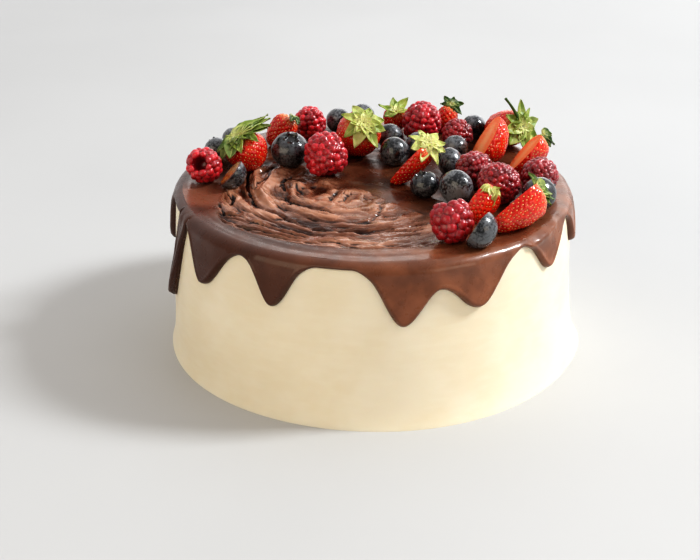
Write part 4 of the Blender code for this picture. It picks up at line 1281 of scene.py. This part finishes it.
# For each berry: where its cap faces, where round it each leaf points in degrees, how long each is, how much
# the leaves rise at their tips, and how dark they are. Turns start on the right, seen with the berry upright.
LEAVES = {
    1: ((-0.42, -0.12, 0.90),
        ((96, 17), (108, 20), (121, 22), (134, 20), (148, 15), (284, 13), (302, 16), (320, 16), (340, 13),
         (20, 11), (45, 13), (70, 15), (180, 9), (215, 10), (250, 10)), 1.2, 0.4),
    2: (LEAFY_END, ((250, 7), (300, 7), (340, 5)), 1.0, 0.8),
    3: (LEAFY_END,
        ((10, 12), (55, 11), (100, 13), (150, 12), (205, 12), (250, 13), (290, 14), (330, 12)), 0.0, -0.45),
    4: (LEAFY_END, ((20, 8), (70, 11), (120, 10), (170, 10), (230, 8)), 5.0, 0.15),
    5: ((0.35, -0.50, 0.80),
        ((5, 10), (52, 10), (95, 10), (140, 10), (190, 10), (240, 11), (295, 11), (335, 10)), 1.5, -0.9),
    7: (LEAFY_END,
        ((0, 13), (40, 12), (85, 14), (130, 12), (175, 13), (220, 13), (265, 14), (312, 12)), 3.0, 0.2),
    8: ((0.5, -0.35, 0.6), ((200, 6), (255, 8), (285, 11), (318, 9)), 0.5, 0.85),
    9: ((0.6, -0.3, 0.6), ((60, 10), (352, 17), (325, 13), (300, 10), (180, 6), (230, 7)), 0.5, 0.6),
    10: ((0.15, -0.60, 0.75), ((190, 8), (225, 10), (260, 9), (300, 6)), 0.0, -0.5),
    11: ((0.1, -0.5, 0.8),
         ((10, 7), (60, 6), (110, 7), (160, 6), (210, 6), (260, 6), (310, 7)), 0.5, 0.95),
}
LEAF_CLEARANCE = 1.2
LEAF_FOLD = 1.3
LEAF_DROOP = 0.45
SHOULDER_REACH = 0.40
LEAF_WIDTH = 0.28
INNER_LEAF = 0.62
INNER_TURN = 22
INNER_RISE = 0.45
LEAF_THICKNESS = 0.4
HUB = 2.4
STEM_LENGTH = 19.0
STEM_TOWARDS = (-0.45, -0.2, 0.85)
STEM_ROWS = 14
STEMMED = 7
STEM_WIDTHS = ((0, 1.9), (0.08, 1.0), (0.9, 0.62), (1.0, 0.75))
STEM_BEND = 1.2
# How far a cap sits off its berry's end, in millimetres, where the cut would hide it
CAP_SHIFTS = {10: (-1.2, -6.5, 2.6)}
NO_SHIFT = (0, 0, 0)


def leaf_finish():
    material, tree, shader = new_material("strawberry leaf", {
        "Roughness": 0.42, "Subsurface Weight": 0.25, "Subsurface Radius": (0.5, 1.0, 0.2),
        "Subsurface Scale": 0.0012, "Specular IOR Level": 0.45,
    })
    cloud, grain = handled(tree, 4.0, 0.6)
    along, across, dark = marked(tree, "along"), marked(tree, "across"), marked(tree, "dark")
    tone = mix(tree, span(tree, cloud, 0.35, 0.65), (0.22, 0.31, 0.045), (0.46, 0.50, 0.14))
    tone = mix(tree, span(tree, dark, 0.0, 1.0), tone, (0.035, 0.085, 0.014))
    tone = mix(tree, span(tree, dark, -0.8, 0.0, 0.75, 0.0), tone, (0.74, 0.76, 0.34))
    tone = mix(tree, span(tree, along, 0.0, 0.45, 0.65, 0.0), tone, (0.72, 0.72, 0.30))
    tone = mix(tree, span(tree, along, 0.8, 1.0, 0.0, 0.45), tone, (0.16, 0.14, 0.03))
    vein = span(tree, across, 0.0, 0.16, 0.6, 0.0)
    tone = mix(tree, vein, tone, (0.66, 0.68, 0.27))
    coloured(tree, shader, tone, span(tree, grain, 0.3, 0.7, 0.34, 0.5))
    bumped(tree, shader, maths(tree, "ADD", scaled(tree, vein, -0.6), grain), 0.18, 0.7)
    return material


def shoulder_height(radius, number):
    """The height of a strawberry's leafy end at this distance from its axis."""
    line = strawberry_line(number)
    top = line[: int(line[:, 0].argmax()) + 1]
    return np.interp(radius, top[:, 0], top[:, 1])


def leaf_shape(draw, reach, spine, lift, number, rise):
    """The points of one leaf in the frame of its berry: a folded blade that follows the shoulder, then
    droops, twists and curls on its own."""
    width = STRAWBERRIES[number][1]
    along, across = (leaf_grid[:, 0] + 1) / 2, leaf_grid[:, 1]
    half = reach * LEAF_WIDTH * draw.uniform(0.85, 1.2)
    outline = np.sin(math.pi * (0.12 + 0.88 * along) ** 0.8).clip(0) ** 0.75 * (1 - 0.15 * along)
    sway = draw.uniform(-0.14, 0.14) * reach * along**2
    out = 0.4 + along * (reach - 0.4)
    side = across * half * outline + sway
    turn = math.radians(spine)
    x, y = out * math.cos(turn) - side * math.sin(turn), out * math.sin(turn) + side * math.cos(turn)
    ride = shoulder_height(np.minimum(SHOULDER_REACH * width, np.hypot(x, y)), number)
    fold = LEAF_FOLD * abs(across) ** 1.3 * outline * half / 2.5
    wave = 0.4 * np.sin(along * draw.uniform(6, 10) + across * 2.0 + draw.uniform(0, 6)) * along
    twist = draw.uniform(-0.5, 0.5) * across * half * outline * along
    droop = LEAF_DROOP * np.maximum(0.0, out - 0.42 * width)
    curl = draw.uniform(-0.6, 2.2) * along**2.5
    z = ride + rise + lift * (out / 12.0) ** 2 + fold + wave + twist - droop + curl
    return np.stack([x, y, z], axis=1), along, abs(across)


leaf_green = leaf_finish()
leaf_pattern = add("leaf_pattern", bpy.ops.mesh.primitive_grid_add, x_subdivisions=18, y_subdivisions=8,
                   size=2)
leaf_grid, leaf_faces = taken_apart(leaf_pattern)
leaf_grid *= MM

for number, (faces_towards, blades, lift, dark) in LEAVES.items():
    _, width, length, _, cut_faces, cut = STRAWBERRIES[number]
    draw = random.Random(200 + number)
    points, faces, alongs, acrosses, darks = [], [], [], [], []
    kinds = [(spine, reach, LEAF_CLEARANCE) for spine, reach in blades]
    if cut == "whole" or faces_towards:
        inner_rise = LEAF_CLEARANCE + INNER_RISE
        kinds += [(spine + INNER_TURN, INNER_LEAF * reach, inner_rise) for spine, reach in blades]
    for spine, reach, rise in kinds:
        blade, along, across = leaf_shape(draw, reach, spine + draw.uniform(-6, 6), lift, number, rise)
        if cut != "whole" and not faces_towards:
            blade[:, 1] -= HUB
        faces += copy_of(leaf_faces, len(points))
        points += list(blade)
        alongs += list(along)
        acrosses += list(across)
        darks += [min(1.0, max(-1.0, dark + draw.uniform(-0.25, 0.3)))] * len(along)
    turn, middle = strawberries_placed[number]
    blades_turn = turn
    if faces_towards:
        blades_turn = facing(faces_towards, cut_faces)
        middle = middle + 0.5 * length * (turn[:, 2] - blades_turn[:, 2]) + CAP_SHIFTS.get(number, NO_SHIFT)
    settled = np.array(points) @ blades_turn.T + middle
    settled[:, 2] = np.maximum(settled[:, 2], REST_HEIGHT + 0.3)
    leaves = piece_of(f"strawberry_leaves_{number}", settled, faces)
    mark(leaves, along=alongs, across=acrosses, dark=darks)
    thick = leaves.modifiers.new("leaf thickness", "SOLIDIFY")
    thick.thickness = LEAF_THICKNESS * MM
    thick.offset = 0.0
    pick(leaves)
    bpy.ops.object.modifier_apply(modifier="leaf thickness")
    finish(leaves, leaf_green, f"leaves_{number}", angle=60)
    if number == STEMMED:
        foot = turn @ np.array([0, 0, 0.5 * length + LEAF_CLEARANCE - 1.2]) + middle
        stem = add("strawberry_stem", bpy.ops.mesh.primitive_circle_add, vertices=16, radius=MM,
                   fill_type="NGON")
        edit(stem)
        for _ in range(STEM_ROWS):
            pull_up(STEM_LENGTH / STEM_ROWS)
        done_editing()
        rod = points_of(stem)
        share = rod[:, 2] / STEM_LENGTH
        bend = np.stack([STEM_BEND * np.sin(math.pi * share), 0 * share, 0 * share], axis=1)
        rod[:, :2] *= read_off(STEM_WIDTHS, share)[:, None]
        move_points(stem, rod @ facing(STEM_TOWARDS, (1, 0, 0)).T + bend + foot)
        face_outwards(stem)
        mark(stem, along=0.6, across=1.0, dark=0.85)
        finish(stem, leaf_green, f"leaves_{number}", angle=50)

# ---------------------------------------------------------------------------------------------------------
# A pale table, soft light from a window at the right and behind, and the camera at the photograph's height.

TABLE_SIZE = 6.0


def table_finish():
    material, tree, shader = new_material("pale table", {"Roughness": 0.6, "Specular IOR Level": 0.2})
    cloud, grain = handled(tree, 300.0, 4.0)
    tone = mix(tree, span(tree, cloud, 0.3, 0.7), (0.532, 0.531, 0.53), (0.557, 0.556, 0.555))
    coloured(tree, shader, tone)
    return material


table = add("pale_table", bpy.ops.mesh.primitive_grid_add, x_subdivisions=24, y_subdivisions=24,
            size=TABLE_SIZE)
table.data.materials.append(table_finish())


def area_light(name, place, size, power, colour):
    bpy.ops.object.light_add(type="AREA", location=place)
    light = bpy.context.active_object
    light.name = name
    light.data.shape = "RECTANGLE"
    light.data.size, light.data.size_y = size
    light.data.energy = power
    light.data.color = colour
    light.rotation_euler = (Vector((0, 0, 0.06)) - Vector(place)).to_track_quat("-Z", "Y").to_euler()


area_light("window", (1.90, 0.09, 1.71), (0.46, 0.6), 44.0, (0.93, 0.97, 1.0))
area_light("back_window", (0.85, 2.32, 0.75), (2.4, 1.05), 7.6, (1.0, 0.98, 0.95))
area_light("room_fill", (-1.1, -1.3, 0.7), (1.6, 1.2), 8.5, (1.0, 0.88, 0.70))
area_light("front_fill", (1.25, -1.25, 0.55), (0.9, 0.7), 3.0, (1.0, 0.90, 0.76))

# The room's light comes mostly from behind and above, so what faces the camera stays darker
world = bpy.data.worlds.new("pale room")
world.use_nodes = True
room = world.node_tree
towards = put(room, "ShaderNodeTexCoord").outputs["Generated"]
behind_it = put(room, "ShaderNodeVectorMath", {"operation": "DOT_PRODUCT"}, i0=towards, i1=(0.25, 0.85, 0.45))
glow = mix(room, span(room, behind_it.outputs["Value"], -0.7, 0.9), (0.31, 0.29, 0.27), (0.92, 0.92, 0.93))
room.links.new(glow, room.nodes["Background"].inputs["Color"])
room.nodes["Background"].inputs["Strength"].default_value = 0.75
bpy.context.scene.world = world
bpy.context.scene.view_settings.view_transform = "Standard"
bpy.context.scene.view_settings.look = "High Contrast"

bpy.ops.object.camera_add()
camera = bpy.context.active_object
camera.name = "camera"
camera.data.sensor_width = 36.0
camera.data.lens = 82.29
camera.data.shift_y = 6.4 / 700
camera.data.clip_start = 0.01
camera.matrix_world = (
    Matrix.Translation((-0.0116, -0.7330, 0.3639))
    @ Matrix.Rotation(math.radians(90 - 24.8), 4, "X")
    @ Matrix.Rotation(math.radians(0.2), 4, "Z")
)
bpy.context.scene.camera = camera
